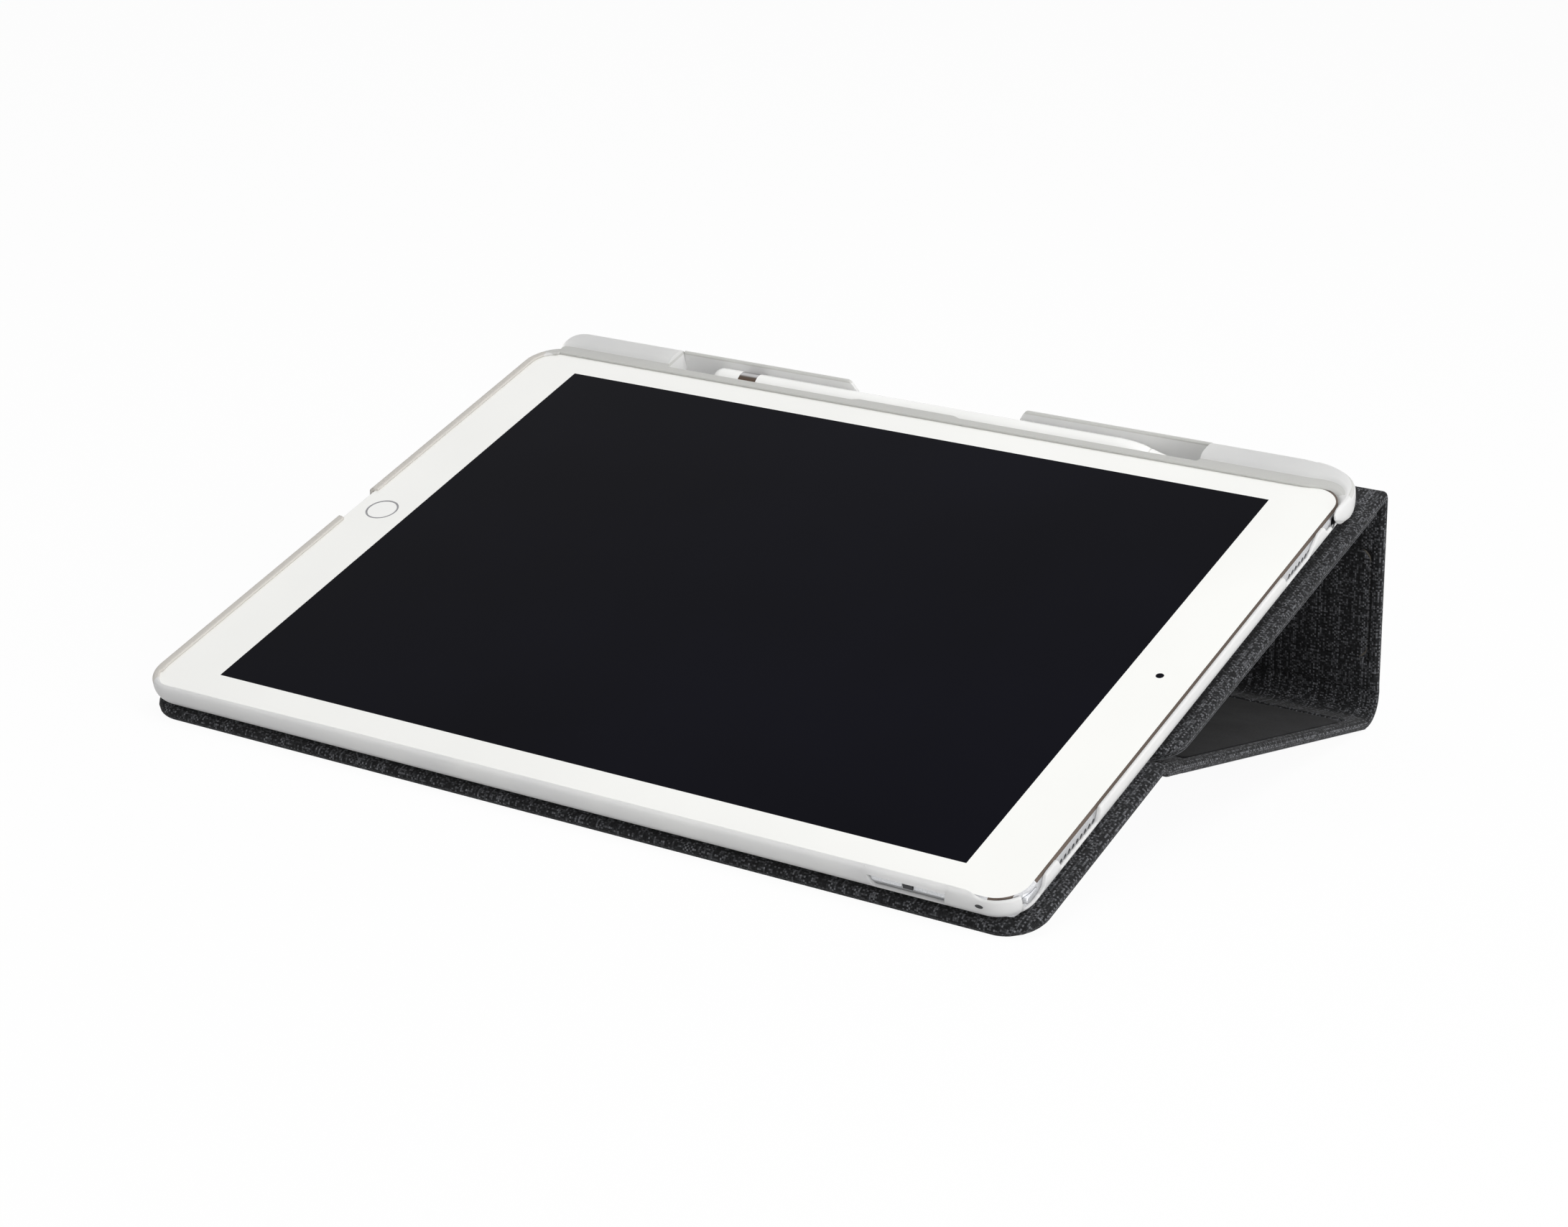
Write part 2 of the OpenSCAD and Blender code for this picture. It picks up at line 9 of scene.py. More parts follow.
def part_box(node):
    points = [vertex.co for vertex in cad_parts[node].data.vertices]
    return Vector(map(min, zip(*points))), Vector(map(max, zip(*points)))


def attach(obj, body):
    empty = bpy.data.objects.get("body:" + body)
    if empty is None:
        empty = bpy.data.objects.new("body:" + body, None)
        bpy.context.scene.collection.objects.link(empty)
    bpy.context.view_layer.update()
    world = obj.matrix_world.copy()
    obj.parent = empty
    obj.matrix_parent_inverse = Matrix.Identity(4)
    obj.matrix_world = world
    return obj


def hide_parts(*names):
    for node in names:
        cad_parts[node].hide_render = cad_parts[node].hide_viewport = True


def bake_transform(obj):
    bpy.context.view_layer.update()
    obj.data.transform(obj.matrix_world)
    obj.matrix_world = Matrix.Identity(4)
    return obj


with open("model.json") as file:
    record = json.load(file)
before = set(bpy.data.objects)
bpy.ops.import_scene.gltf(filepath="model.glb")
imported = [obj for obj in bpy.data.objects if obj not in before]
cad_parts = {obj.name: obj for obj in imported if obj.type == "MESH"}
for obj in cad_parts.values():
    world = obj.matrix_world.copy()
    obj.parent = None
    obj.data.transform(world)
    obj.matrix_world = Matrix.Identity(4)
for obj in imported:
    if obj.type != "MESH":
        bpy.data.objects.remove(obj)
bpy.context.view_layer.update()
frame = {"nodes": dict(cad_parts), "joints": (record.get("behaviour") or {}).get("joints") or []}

scene = bpy.context.scene
mm = 0.001


def vec(x, y, z):
    return np.array([x, y, z], float)


# unit Y and Z directions of a frame turned about X
def turned(degrees):
    a = math.radians(degrees)
    return vec(0, math.cos(a), math.sin(a)), vec(0, -math.sin(a), math.cos(a))


# local x, y, z in millimetres to the shared frame in metres: origin + x X + y across + z up
def placed(points, origin, across, up):
    p = np.asarray(points, float) * mm
    return origin + p[..., :1] * vec(1, 0, 0) + p[..., 1:2] * across + p[..., 2:3] * up


# 0 before a, 1 after b, and the cubic 3 t^2 - 2 t^3 between them
def smoothStep(x, a, b):
    t = np.clip((np.asarray(x, float) - a) / (b - a), 0, 1)
    return t * t * (3 - 2 * t)


# evenly spaced runs between the stops, joined, with the given number of steps in each
def spread(stops, steps):
    runs = [np.linspace(a, b, n, endpoint=False) for a, b, n in zip(stops, stops[1:], steps)]
    return np.concatenate(runs + [[stops[-1]]])


# the points of a polyline, spaced evenly by its length
def evenly(points, count):
    p = np.asarray(points, float)
    run = np.concatenate([[0], np.cumsum(np.linalg.norm(np.diff(p, axis=0), axis=1))])
    at = np.linspace(0, run[-1], count)
    return np.stack([np.interp(at, run, p[:, k]) for k in range(p.shape[1])], -1)


# a smooth line through control points: a cubic in each span, with slopes (next - last) / 2
def smoothLine(points, perSpan):
    p = np.asarray(points, float)
    p = np.concatenate([2 * p[:1] - p[1:2], p, 2 * p[-1:] - p[-2:-1]])
    t = np.linspace(0, 1, perSpan, endpoint=False)[None, :, None]
    a, b, c, d = (p[k:len(p) - 3 + k, None] for k in range(4))
    span = (b + t * (c - a) / 2 + t ** 2 * (a - 2.5 * b + 2 * c - d / 2)
            + t ** 3 * (1.5 * (b - c) + (d - a) / 2))
    return np.concatenate([span.reshape(-1, p.shape[1]), p[-2:-1]])


# an arc round a centre, from angle a0 to a1 in degrees
def arc(cx, cy, r, a0, a1, count):
    t = np.radians(np.linspace(a0, a1, count))
    return np.stack([cx + r * np.cos(t), cy + r * np.sin(t)], -1)


# quads of a rows by cols grid of points, joined end to end where it wraps
def gridFaces(rows, cols, wrapRows=False, wrapCols=False, first=0):
    i = np.arange(rows if wrapRows else rows - 1)
    j = np.arange(cols if wrapCols else cols - 1)
    i, j = np.meshgrid(i, j, indexing="ij")
    i2, j2 = (i + 1) % rows, (j + 1) % cols
    quads = np.stack([i * cols + j, i2 * cols + j, i2 * cols + j2, i * cols + j2], -1)
    return quads.reshape(-1, 4) + first


# faces of a closed tube of rows rings with cols points each: its wall, and a flat face at either end
def tubeFaces(rows, cols):
    first = np.arange(cols)
    last = (rows - 1) * cols + np.arange(cols)
    return [gridFaces(rows, cols, False, True), first[None, ::-1], last[None]]


# turns all faces round where the closed shell's signed volume, the sum of a . (b x c), is negative
def outward(points, faces):
    total = 0.0
    for face in faces:
        f = np.asarray(face)
        a = points[f[:, 0]]
        for k in range(1, f.shape[1] - 1):
            total += np.einsum("ij,ij->i", a, np.cross(points[f[:, k]], points[f[:, k + 1]])).sum()
    return faces if total >= 0 else [np.asarray(f)[..., ::-1] for f in faces]


# shells is a list of (points, [face arrays]); each becomes a closed part of one mesh
def addPiece(name, shells, material, body, replaces=(), uv=None, sharp=None):
    points, polygons, start = [], [], 0
    for shellPoints, shellFaces in shells:
        shellPoints = np.asarray(shellPoints, float).reshape(-1, 3)
        for face in outward(shellPoints, shellFaces):
            f = np.asarray(face)
            polygons.extend((f + start).reshape(-1, f.shape[-1]).tolist())
        points.append(shellPoints)
        start += len(shellPoints)
    mesh = bpy.data.meshes.new(name)
    mesh.from_pydata(np.concatenate(points).tolist(), [], polygons)
    mesh.validate()
    if uv is not None:
        layer = mesh.uv_layers.new(name="weave")
        loopPoint = np.zeros(len(mesh.loops), np.int64)
        mesh.loops.foreach_get("vertex_index", loopPoint)
        layer.data.foreach_set("uv", np.asarray(uv, np.float32).reshape(-1, 2)[loopPoint].ravel())
    mesh.polygons.foreach_set("use_smooth", np.ones(len(mesh.polygons), bool))
    if sharp:
        mesh.set_sharp_from_angle(angle=math.radians(sharp))
    mesh.materials.append(material)
    piece = bpy.data.objects.new(name, mesh)
    scene.collection.objects.link(piece)
    if body:
        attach(piece, body)
    if replaces:
        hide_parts(*replaces)
    return piece


# where the case's parts are: the fold axes come from the frame, and the rest is the folio's own form
jointAt = {j["name"]: vec(*j["pos_m"]) for j in frame["joints"] if "pos_m" in j}
folio = dict(trayTilt=19.1, backSlope=-9.4665, riserLean=7.4, supportAngle=17.956, panelThick=3.6,
             nearLength=84.0, backLength=152.6, riserLength=68.124, supportLength=156.962, foldGap=7.0,
             spineRadius=9.0, nearReach=112.0, underTray=-7.9, sideBorder=4.0, endBorder=11.0, panelSet=0.8)
trayV, trayN = turned(folio["trayTilt"])
backV, backN = turned(folio["backSlope"])
riserV, riserN = turned(90 + folio["riserLean"])
supportV, supportN = turned(180 + folio["supportAngle"])
nearAxis, riserAxis, topAxis = (jointAt[n] for n in ("tray_fold", "riser_fold", "support_fold"))
thick = folio["panelThick"]
halfThick = thick / 2
spineMiddle = folio["spineRadius"] - halfThick
spineCentre = riserAxis + spineMiddle * mm * riserN


# the middle of the glass's face, from the lowest near edge of the display, panelSet thick, and its tilt
def glassMiddle():
    low, high = (np.array(c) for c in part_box("display_panel"))
    deep = folio["panelSet"] * mm
    half = ((high[1] - low[1]) - deep * trayV[2]) / (2 * trayV[1])
    return vec(0, low[1], high[2]) + vec(0, half * trayV[1], -half * trayV[2])


glassAt = glassMiddle()
print("frame ready: glass middle", np.round(glassAt, 5).tolist())


# millimetres along, across and off the glass to metres in the shared frame
def inTray(points):
    return placed(points, glassAt, trayV, trayN)


# sRGB hex to linear red, green, blue, alpha
def toLinear(hexColour):
    c = [int(hexColour[i:i + 2], 16) / 255 for i in (1, 3, 5)]
    return tuple(v / 12.92 if v <= 0.04045 else ((v + 0.055) / 1.055) ** 2.4 for v in c) + (1.0,)


# adds a shader node with its settings and a colour ramp's (place, hex colour) stops; inputs go by name or in
# order, and each is a value, a socket, or a node whose first output is meant
def addNode(tree, kind, inputs=(), stops=(), **settings):
    new = tree.nodes.new("ShaderNode" + kind)
    for name, value in settings.items():
        setattr(new, name, value)
    for k, (place, colour) in enumerate(stops):
        elements = new.color_ramp.elements
        element = elements[k] if k < 2 else elements.new(place)
        element.position = place
        element.color = toLinear(colour)
    for key, value in inputs.items() if isinstance(inputs, dict) else enumerate(inputs):
        if isinstance(value, bpy.types.Node):
            value = value.outputs[0]
        if isinstance(value, bpy.types.NodeSocket):
            tree.links.new(value, new.inputs[key])
        else:
            new.inputs[key].default_value = value
    return new


# a new material and its node tree, empty
def startMaterial(name):
    material = bpy.data.materials.new(name)
    material.use_nodes = True
    material.node_tree.nodes.clear()
    return material, material.node_tree


# a noise from 0 to 1 as a change of grey: share (noise - 1/2)
def greyChange(tree, noise, share):
    fromMiddle = addNode(tree, "Math", [noise, 0.5], operation="SUBTRACT")
    return addNode(tree, "Math", [fromMiddle, share], operation="MULTIPLY")


# the real yarns are 0.5 mm apart: drawn at 0.62 mm so that they show; slub is the length of a thick place in
# a yarn, in millimetres; mottle varies the grey along a yarn, dye from yarn to yarn, and fleck at a crossing
wovenCloth = dict(pitch=0.62, slub=7.0, pitYarn="#040405", darkYarn="#0e0e10", midYarn="#232426",
                  lightYarn="#737478", warpMottle=0.26, warpDye=0.5, weftMottle=0.14, weftDye=0.12,
                  fleck=0.46, crownFall=3.4, relief=0.12, yarnApart=7.31, setApart=3.7,
                  shader={"Roughness": 0.88, "Specular IOR Level": 0.2, "Sheen Weight": 0.06,
                          "Sheen Roughness": 0.5})


# Woven polyester in charcoal heather: matt, with single yarns over and under, each of its own grey. Warp lies
# on top where the two yarns' numbers add up to an even number; a yarn's crown is 1 - crownFall d^2, at d
# pitches from its middle, and towards the gaps beside it the colour goes to a painted shade, the dark of the
# pit
def wovenMaterial():
    material, tree = startMaterial("wovenHeatherPolyester")
    uv = addNode(tree, "UVMap", uv_map="weave")
    split = addNode(tree, "SeparateXYZ", [uv])
    cells, offsets = [], []
    for axis in (0, 1):
        pitches = addNode(tree, "Math", [split.outputs[axis], wovenCloth["pitch"] * mm], operation="DIVIDE")
        cells.append(addNode(tree, "Math", [pitches], operation="FLOOR"))
        within = addNode(tree, "Math", [pitches], operation="FRACT")
        offsets.append(addNode(tree, "Math", [within, 0.5], operation="SUBTRACT"))
    both = addNode(tree, "Math", cells, operation="ADD")
    parity = addNode(tree, "Math", [both, 2.0], operation="FLOORED_MODULO")
    greys, crowns = [], []
    for axis, yarns in enumerate(("warp", "weft")):
        along = addNode(tree, "Math", [split.outputs[1 - axis], wovenCloth["slub"] * mm], operation="DIVIDE")
        ownPlace = addNode(tree, "Math", [cells[axis], wovenCloth["yarnApart"]], operation="MULTIPLY")
        place = addNode(tree, "CombineXYZ", [ownPlace, along, wovenCloth["setApart"] * (axis + 1)])
        slub = addNode(tree, "TexNoise", {"Vector": place, "Scale": 1.0, "Detail": 2.0, "Roughness": 0.8})
        dye = addNode(tree, "TexWhiteNoise", {"W": cells[axis]}, noise_dimensions="1D").outputs["Value"]
        changes = [greyChange(tree, slub, wovenCloth[yarns + "Mottle"]),
                   greyChange(tree, dye, wovenCloth[yarns + "Dye"])]
        greys.append(addNode(tree, "Math", changes, operation="ADD"))
        square = addNode(tree, "Math", [offsets[axis], offsets[axis]], operation="MULTIPLY")
        fall = addNode(tree, "Math", [square, wovenCloth["crownFall"]], operation="MULTIPLY")
        crowns.append(addNode(tree, "Math", [1.0, fall], operation="SUBTRACT"))
    pick = addNode(tree, "Mix", {0: parity, 2: greys[0], 3: greys[1]}, data_type="FLOAT")
    crown = addNode(tree, "Mix", {0: parity, 2: crowns[0], 3: crowns[1]}, data_type="FLOAT")
    crossing = addNode(tree, "CombineXYZ", cells)
    chance = addNode(tree, "TexWhiteNoise", {"Vector": crossing}, noise_dimensions="2D").outputs["Value"]
    tone = addNode(tree, "Math", [pick, 0.5], operation="ADD")
    tone = addNode(tree, "Math", [tone, greyChange(tree, chance, wovenCloth["fleck"])], operation="ADD")
    colour = addNode(tree, "ValToRGB", [tone], [(0.3, wovenCloth["darkYarn"]), (0.52, wovenCloth["midYarn"]),
                                                (0.86, wovenCloth["lightYarn"])])
    # painted shade: towards each yarn's edge the colour goes to the dark of the pit
    shade = addNode(tree, "Mix", {0: crown, 6: toLinear(wovenCloth["pitYarn"]), 7: colour},
                    data_type="RGBA").outputs[2]
    bump = addNode(tree, "Bump", {"Height": crown, "Strength": 0.6, "Distance": wovenCloth["relief"] * mm})
    surface = addNode(tree, "BsdfPrincipled", {"Base Color": shade, "Normal": bump, **wovenCloth["shader"]})
    addNode(tree, "OutputMaterial", [surface])
    return material


# noise scales are per metre: strokes 15 mm across, and a nap of about 0.5 mm
microfibre = dict(strokes=60.0, nap=1800.0, dark="#09090a", light="#232325", relief=0.1,
                  shader={"Roughness": 0.95, "Specular IOR Level": 0.1, "Sheen Weight": 0.05,
                          "Sheen Roughness": 0.6})


# Brushed microfibre: a very fine nap, near black, with faint cloudy strokes
def liningMaterial():
    material, tree = startMaterial("brushedMicrofibre")
    where = addNode(tree, "TexCoord").outputs["Object"]
    strokes = addNode(tree, "TexNoise", {"Vector": where, "Scale": microfibre["strokes"], "Detail": 3.0})
    nap = addNode(tree, "TexNoise", {"Vector": where, "Scale": microfibre["nap"], "Detail": 2.0})
    halves = [addNode(tree, "Math", [noise, 0.5], operation="MULTIPLY") for noise in (strokes, nap)]
    mixed = addNode(tree, "Math", halves, operation="ADD")
    colour = addNode(tree, "ValToRGB", [mixed], [(0.38, microfibre["dark"]), (0.62, microfibre["light"])])
    bump = addNode(tree, "Bump", {"Height": nap, "Strength": 0.4, "Distance": microfibre["relief"] * mm})
    surface = addNode(tree, "BsdfPrincipled", {"Base Color": colour, "Normal": bump, **microfibre["shader"]})
    addNode(tree, "OutputMaterial", [surface])
    return material


# distances in metres along X, across the tray and off the glass, read from Object coordinates
def trayPlaces(tree):
    where = addNode(tree, "TexCoord").outputs["Object"]
    away = addNode(tree, "VectorMath", [where, glassAt.tolist()], operation="SUBTRACT")
    return [addNode(tree, "VectorMath", [away, list(axis)], operation="DOT_PRODUCT").outputs["Value"]
            for axis in ((1, 0, 0), trayV.tolist(), trayN.tolist())]


# 1 where each (place, test, limit in millimetres) holds, and 0 elsewhere
def allHold(tree, *tests):
    holds = [addNode(tree, "Math", [place, limit * mm], operation=test) for place, test, limit in tests]
    product = holds[0]
    for other in holds[1:]:
        product = addNode(tree, "Math", [product, other], operation="MULTIPLY")
    return product


# the far lip is from lipFrom across and up to lipTop off the glass; the left-hand wall is beyond leftTo;
# both get a painted shade, a little greyer
tpu = dict(low="#ebebeb", high="#f1f1f0", lipShade="#dcdcd9", leftShade="#e0ddd8", lipFrom=107.0, lipTop=1.0,
           leftTo=-149.2, throughShare=0.38, relief=0.05,
           shader={"Roughness": 0.36, "IOR": 1.4, "Transmission Weight": 0.06, "Coat Weight": 0.15,
                   "Coat Roughness": 0.2})


# Thermoplastic polyurethane, injection moulded and frosted: milky, and it spreads the light that passes
# through, which a share of Translucent gives; the far lip and the left-hand wall get a painted shade that
# makes them a little greyer
def trayMaterial():
    material, tree = startMaterial("frostedMouldedTpu")
    where = addNode(tree, "TexCoord").outputs["Object"]
    flow = addNode(tree, "TexNoise", {"Vector": where, "Scale": 45.0, "Detail": 2.0})       # 22 mm flow marks
    colour = addNode(tree, "ValToRGB", [flow], [(0.3, tpu["low"]), (0.7, tpu["high"])])
    along, across, height = trayPlaces(tree)
    onLipPaintedShade = allHold(tree, (across, "GREATER_THAN", tpu["lipFrom"]), (height, "LESS_THAN", tpu["lipTop"]),
                    (height, "GREATER_THAN", 0.0))
    onLeftPaintedShade = allHold(tree, (along, "LESS_THAN", tpu["leftTo"]), (across, "LESS_THAN", tpu["lipFrom"]))
    # painted shade on the far lip and the left-hand wall
    for share, shade in ((onLipPaintedShade, "lipShade"), (onLeftPaintedShade, "leftShade")):
        colour = addNode(tree, "Mix", {0: share, 6: colour, 7: toLinear(tpu[shade])},
                         data_type="RGBA").outputs[2]
    grain = addNode(tree, "TexNoise", {"Vector": where, "Scale": 900.0, "Detail": 2.0})     # 1 mm frosting
    bump = addNode(tree, "Bump", {"Height": grain, "Strength": 0.06, "Distance": tpu["relief"] * mm})
    surface = addNode(tree, "BsdfPrincipled", {"Base Color": colour, "Normal": bump, **tpu["shader"]})
    through = addNode(tree, "BsdfTranslucent", {"Color": colour})
    mixed = addNode(tree, "MixShader", [tpu["throughShare"], surface, through])
    addNode(tree, "OutputMaterial", [mixed])
    return material


# a moulded, blasted or coated surface: two close colours in a grain of scale grains to the metre, with a
# matching bump of depth millimetres
def grainyMaterial(name, low, high, scale, depth, **shader):
    material, tree = startMaterial(name)
    where = addNode(tree, "TexCoord").outputs["Object"]
    grain = addNode(tree, "TexNoise", {"Vector": where, "Scale": scale, "Detail": 3.0})
    inputs = {key.replace("_", " "): value for key, value in shader.items()}
    inputs["Base Color"] = addNode(tree, "ValToRGB", [grain], [(0.35, low), (0.65, high)])
    if depth:
        inputs["Normal"] = addNode(tree, "Bump", {"Height": grain, "Strength": 0.3, "Distance": depth * mm})
    surface = addNode(tree, "BsdfPrincipled", inputs)
    addNode(tree, "OutputMaterial", [surface])
    return material


# stops over Layer Weight's Facing, from the middle of the band to its edges: a painted reflection
bandPaintedReflection = dict(stops=[(0.12, "#e9e8e6"), (0.2, "#57493f"), (0.32, "#5c534d"), (0.42, "#b9b8b9")],
                 roughness=0.14)


# Polished steel band: its reflection is painted into its colour, with the dark cloth beside it as a painted
# dark line along its middle
def bandMaterial():
    material, tree = startMaterial("polishedSteelBand")
    facing = addNode(tree, "LayerWeight", {"Blend": 0.5}).outputs["Facing"]
    # painted reflection, by how squarely the band faces the eye
    colour = addNode(tree, "ValToRGB", [facing], bandPaintedReflection["stops"])
    surface = addNode(tree, "BsdfPrincipled", {"Base Color": colour, "Metallic": 1.0,
                                               "Roughness": bandPaintedReflection["roughness"]})
    addNode(tree, "OutputMaterial", [surface])
    return material


# where the bevel gets a painted dark reflection: above foot, at the right from sideFrom across, and round
# part of the near corner
bevel = dict(foot=-0.75, sideFrom=-98.5, cornerFrom=144.0, cornerTo=150.2, dark="#6a5f58", low="#c9cacc",
             high="#dcdddf", grit=2500.0, roughness=0.36)


# Bead-blasted aluminium whose edge bevel is cut bright: the dark things the bevel mirrors are a painted
# reflection in its colour
def tabletMaterial():
    material, tree = startMaterial("blastedAluminiumBrightBevel")
    where = addNode(tree, "TexCoord").outputs["Object"]
    grain = addNode(tree, "TexNoise", {"Vector": where, "Scale": bevel["grit"], "Detail": 3.0})
    colour = addNode(tree, "ValToRGB", [grain], [(0.35, bevel["low"]), (0.65, bevel["high"])])
    along, across, height = trayPlaces(tree)
    onSidePaintedReflection = allHold(tree, (along, "GREATER_THAN", 0.0), (across, "GREATER_THAN", bevel["sideFrom"]))
    onCornerPaintedReflection = allHold(tree, (along, "GREATER_THAN", bevel["cornerFrom"]),
                       (along, "LESS_THAN", bevel["cornerTo"]), (across, "LESS_THAN", 0.0))
    either = addNode(tree, "Math", [onSidePaintedReflection, onCornerPaintedReflection], operation="MAXIMUM")
    onBevel = allHold(tree, (height, "GREATER_THAN", bevel["foot"]))
    # painted reflection: the bevel's colour there goes to the dark of the things it mirrors
    dark = addNode(tree, "Math", [either, onBevel], operation="MULTIPLY")
    shade = addNode(tree, "Mix", {0: dark, 6: colour, 7: toLinear(bevel["dark"])},
                    data_type="RGBA").outputs[2]
    surface = addNode(tree, "BsdfPrincipled", {"Base Color": shade, "Metallic": 1.0,
                                               "Roughness": bevel["roughness"]})
    addNode(tree, "OutputMaterial", [surface])
    return material


woven = wovenMaterial()
lining = liningMaterial()
clearTpu = trayMaterial()
bandWithPaintedReflection = bandMaterial()
# blasting grit of 0.4 mm leaves an even satin on the aluminium
aluminium = grainyMaterial("beadBlastedAluminium", "#b9bbbe", "#d2d3d5", 2500.0, 0.02, Metallic=1.0,
                           Roughness=0.38)
# glass backed with white enamel shows no depth, only a sharp gloss
whiteGlass = grainyMaterial("whiteBackedGlass", "#efefec", "#f3f3f0", 12.0, 0, Roughness=0.06, IOR=1.5)
# the display's coating takes nearly all the reflection away
displayGlass = grainyMaterial("coatedDisplayGlass", "#07070e", "#0a0a13", 9.0, 0, Roughness=0.05,
                              Specular_IOR_Level=0.02)
# a narrow steel ring, brushed round too finely to show: a soft grey shine
homeRing = grainyMaterial("brushedSteelRing", "#8b8b8e", "#98989b", 600.0, 0, Metallic=1.0, Roughness=0.3)
# moulded white plastic has one even colour and a soft gloss
whitePlastic = grainyMaterial("glossMouldedPlastic", "#f0f0ee", "#f5f5f3", 30.0, 0, Roughness=0.18, IOR=1.5)
# black nylon out of a mould with a grain of about 1 mm: nearly matt; also the painted shade in the
# microphone opening and the slot between the volume keys
darkFittingAndPaintedShade = grainyMaterial("mouldedBlackNylon", "#1c1d1f", "#26272a", 900.0, 0.03, Roughness=0.55)
# board pressed from fibres 2.5 mm long: matt and faintly flecked
greyBoard = grainyMaterial("greyFibreboard", "#5d564c", "#766e62", 400.0, 0.1, Roughness=0.9)
# a sheet of adhesive with 3 mm clouds in it, half shiny
bondSheet = grainyMaterial("adhesiveSheet", "#85878a", "#999b9e", 300.0, 0.05, Roughness=0.5)
# spun yarn: matt, with its fibres mixed in tufts of about 1 mm
seamYarn = grainyMaterial("spunSeamYarn", "#38393b", "#55565a", 900.0, 0.05, Roughness=0.8)
print("materials ready")

cadLooks = dict(tablet_body=tabletMaterial(), display_glass=whiteGlass, display_panel=displayGlass,
                home_ring=homeRing, home_button=whitePlastic, front_camera=displayGlass,
                charging_port=darkFittingAndPaintedShade, headphone_jack=homeRing, speaker_grilles=darkFittingAndPaintedShade,
                microphone=darkFittingAndPaintedShade, bonding_pad=bondSheet, back_board=greyBoard, riser_board=greyBoard,
                support_board=greyBoard, near_board=greyBoard, stylus_barrel=whitePlastic,
                stylus_band=bandWithPaintedReflection)
for nodeName, look in cadLooks.items():
    mesh = frame["nodes"][nodeName].data
    mesh.materials.clear()
    mesh.materials.append(look)


# in millimetres: how the cloth swells, ripples and steps down inside its border, its lining, and its seam;
# rows of points lie closer where the border steps down at a side or an end, and are even beyond rowsTo
padding = dict(crown=0.15, waves=0.12, rippleAlong=17.0, rippleAcross=23.0, rippleRows=13.0, recess=0.6,
               recessEase=(-0.9, 0.2), sideStep=(2.9, 4.4), endStep=(10.0, 12.2), rowsTo=20.0,
               liningThick=0.9, liningGap=0.2, liningSink=0.55, liningCorner=4.0, seamRadius=0.12,
               seamInset=0.22)


# a rounded slab as a height over a rounded rectangle: z = h sqrt(1 - (1 - d/h)^2) at a distance d from the
# outline, with h half the thickness, above and below; recess = (side border, end border, depth) sinks the
# inner face, crown swells the outer one, and waves ripple it
def padShell(width, y0, y1, r0, r1, thickness, recess=None, crown=0.0, waves=0.0):
    h = thickness / 2
    edge = h * (1 - np.cos(np.linspace(0, math.pi / 2, 8)))
    even = padding["rowsTo"]
    side = np.concatenate([edge, spread([h, *padding["sideStep"], even], [2, 7, 5])[1:]])
    half = width / 2
    between = np.linspace(even - half, half - even, 60)[1:-1]
    x = np.concatenate([side - half, between, (half - side)[::-1]]) / half
    length = y1 - y0
    reach = min(even, length * 0.45)
    inner = spread([h, *padding["endStep"], even], [4, 10, 3])[1:] * reach / even
    end = np.concatenate([edge, inner[inner > h + 0.1]])
    middle = np.linspace(end[-1], length - end[-1], max(6, int(length / 5)))[1:-1]
    y = y0 + np.concatenate([end, middle, (length - end)[::-1]])
    lowEnd, highEnd = np.clip(r0 - (y - y0), 0, r0), np.clip(r1 - (y1 - y), 0, r1)
    pull = (r0 - np.sqrt(r0 ** 2 - lowEnd ** 2)) + (r1 - np.sqrt(r1 ** 2 - highEnd ** 2))
    gy, gx = np.meshgrid(y, x, indexing="ij")
    gx = gx * (half - pull)[:, None]
    mid, halfLen = (y0 + y1) / 2, length / 2
    radius = np.where(gy < mid, r0, r1)
    qx, qy = np.abs(gx) - (half - radius), np.abs(gy - mid) - (halfLen - radius)
    outside = np.hypot(np.maximum(qx, 0), np.maximum(qy, 0))
    d = np.clip(radius - outside - np.minimum(np.maximum(qx, qy), 0), 0, None)
    d[0], d[-1], d[:, 0], d[:, -1] = 0, 0, 0, 0
    roll = np.sqrt(np.clip(1 - (1 - np.clip(d / h, 0, 1)) ** 2, 0, 1))
    ripple = (waves * np.sin(gx / padding["rippleAlong"] + gy / padding["rippleAcross"])
              * np.sin(gy / padding["rippleRows"]) * smoothStep(d, 2, 12))
    top = h * roll
    if recess:
        sideBorder, endBorder, depth = recess
        inset = np.minimum(half - np.abs(gx) - sideBorder, halfLen - np.abs(gy - mid) - endBorder)
        top = top - depth * smoothStep(inset, *padding["recessEase"])
    bottom = -h * roll - crown * smoothStep(d, 0, 40) - ripple
    rows, cols = gx.shape
    upper = np.stack([gx, gy, top], -1).reshape(-1, 3)
    keep = np.zeros((rows, cols), bool)
    keep[1:-1, 1:-1] = True
    lower = np.arange(rows * cols).reshape(rows, cols)
    lower[keep] = rows * cols + np.arange(keep.sum())
    lowerPoints = np.stack([gx, gy, bottom], -1)[keep]
    quads = gridFaces(rows, cols)
    faces = [quads, lower.ravel()[quads][:, ::-1]]
    # the cloth's own measure runs on round the rolled edge by h (theta - sin theta), outward from the flat
    theta = np.arcsin(np.clip(1 - d / h, 0, 1))
    run = h * (theta - np.sin(theta))
    away = np.maximum(np.stack([qx, qy], -1), 0) * np.sign(np.stack([gx, gy - mid], -1))
    size = np.linalg.norm(away, axis=-1, keepdims=True)
    flatSide = np.stack([np.sign(gx) * (qx >= qy), np.sign(gy - mid) * (qy > qx)], -1)
    away = np.where(size > 1e-9, away / np.maximum(size, 1e-9), flatSide)
    cloth = (np.stack([gx, gy], -1) + away * run[..., None]) * mm
    uv = np.concatenate([cloth.reshape(-1, 2), cloth[keep] + 0.7])    # the outer face has threads of its own
    return np.concatenate([upper, lowerPoints]), faces, uv


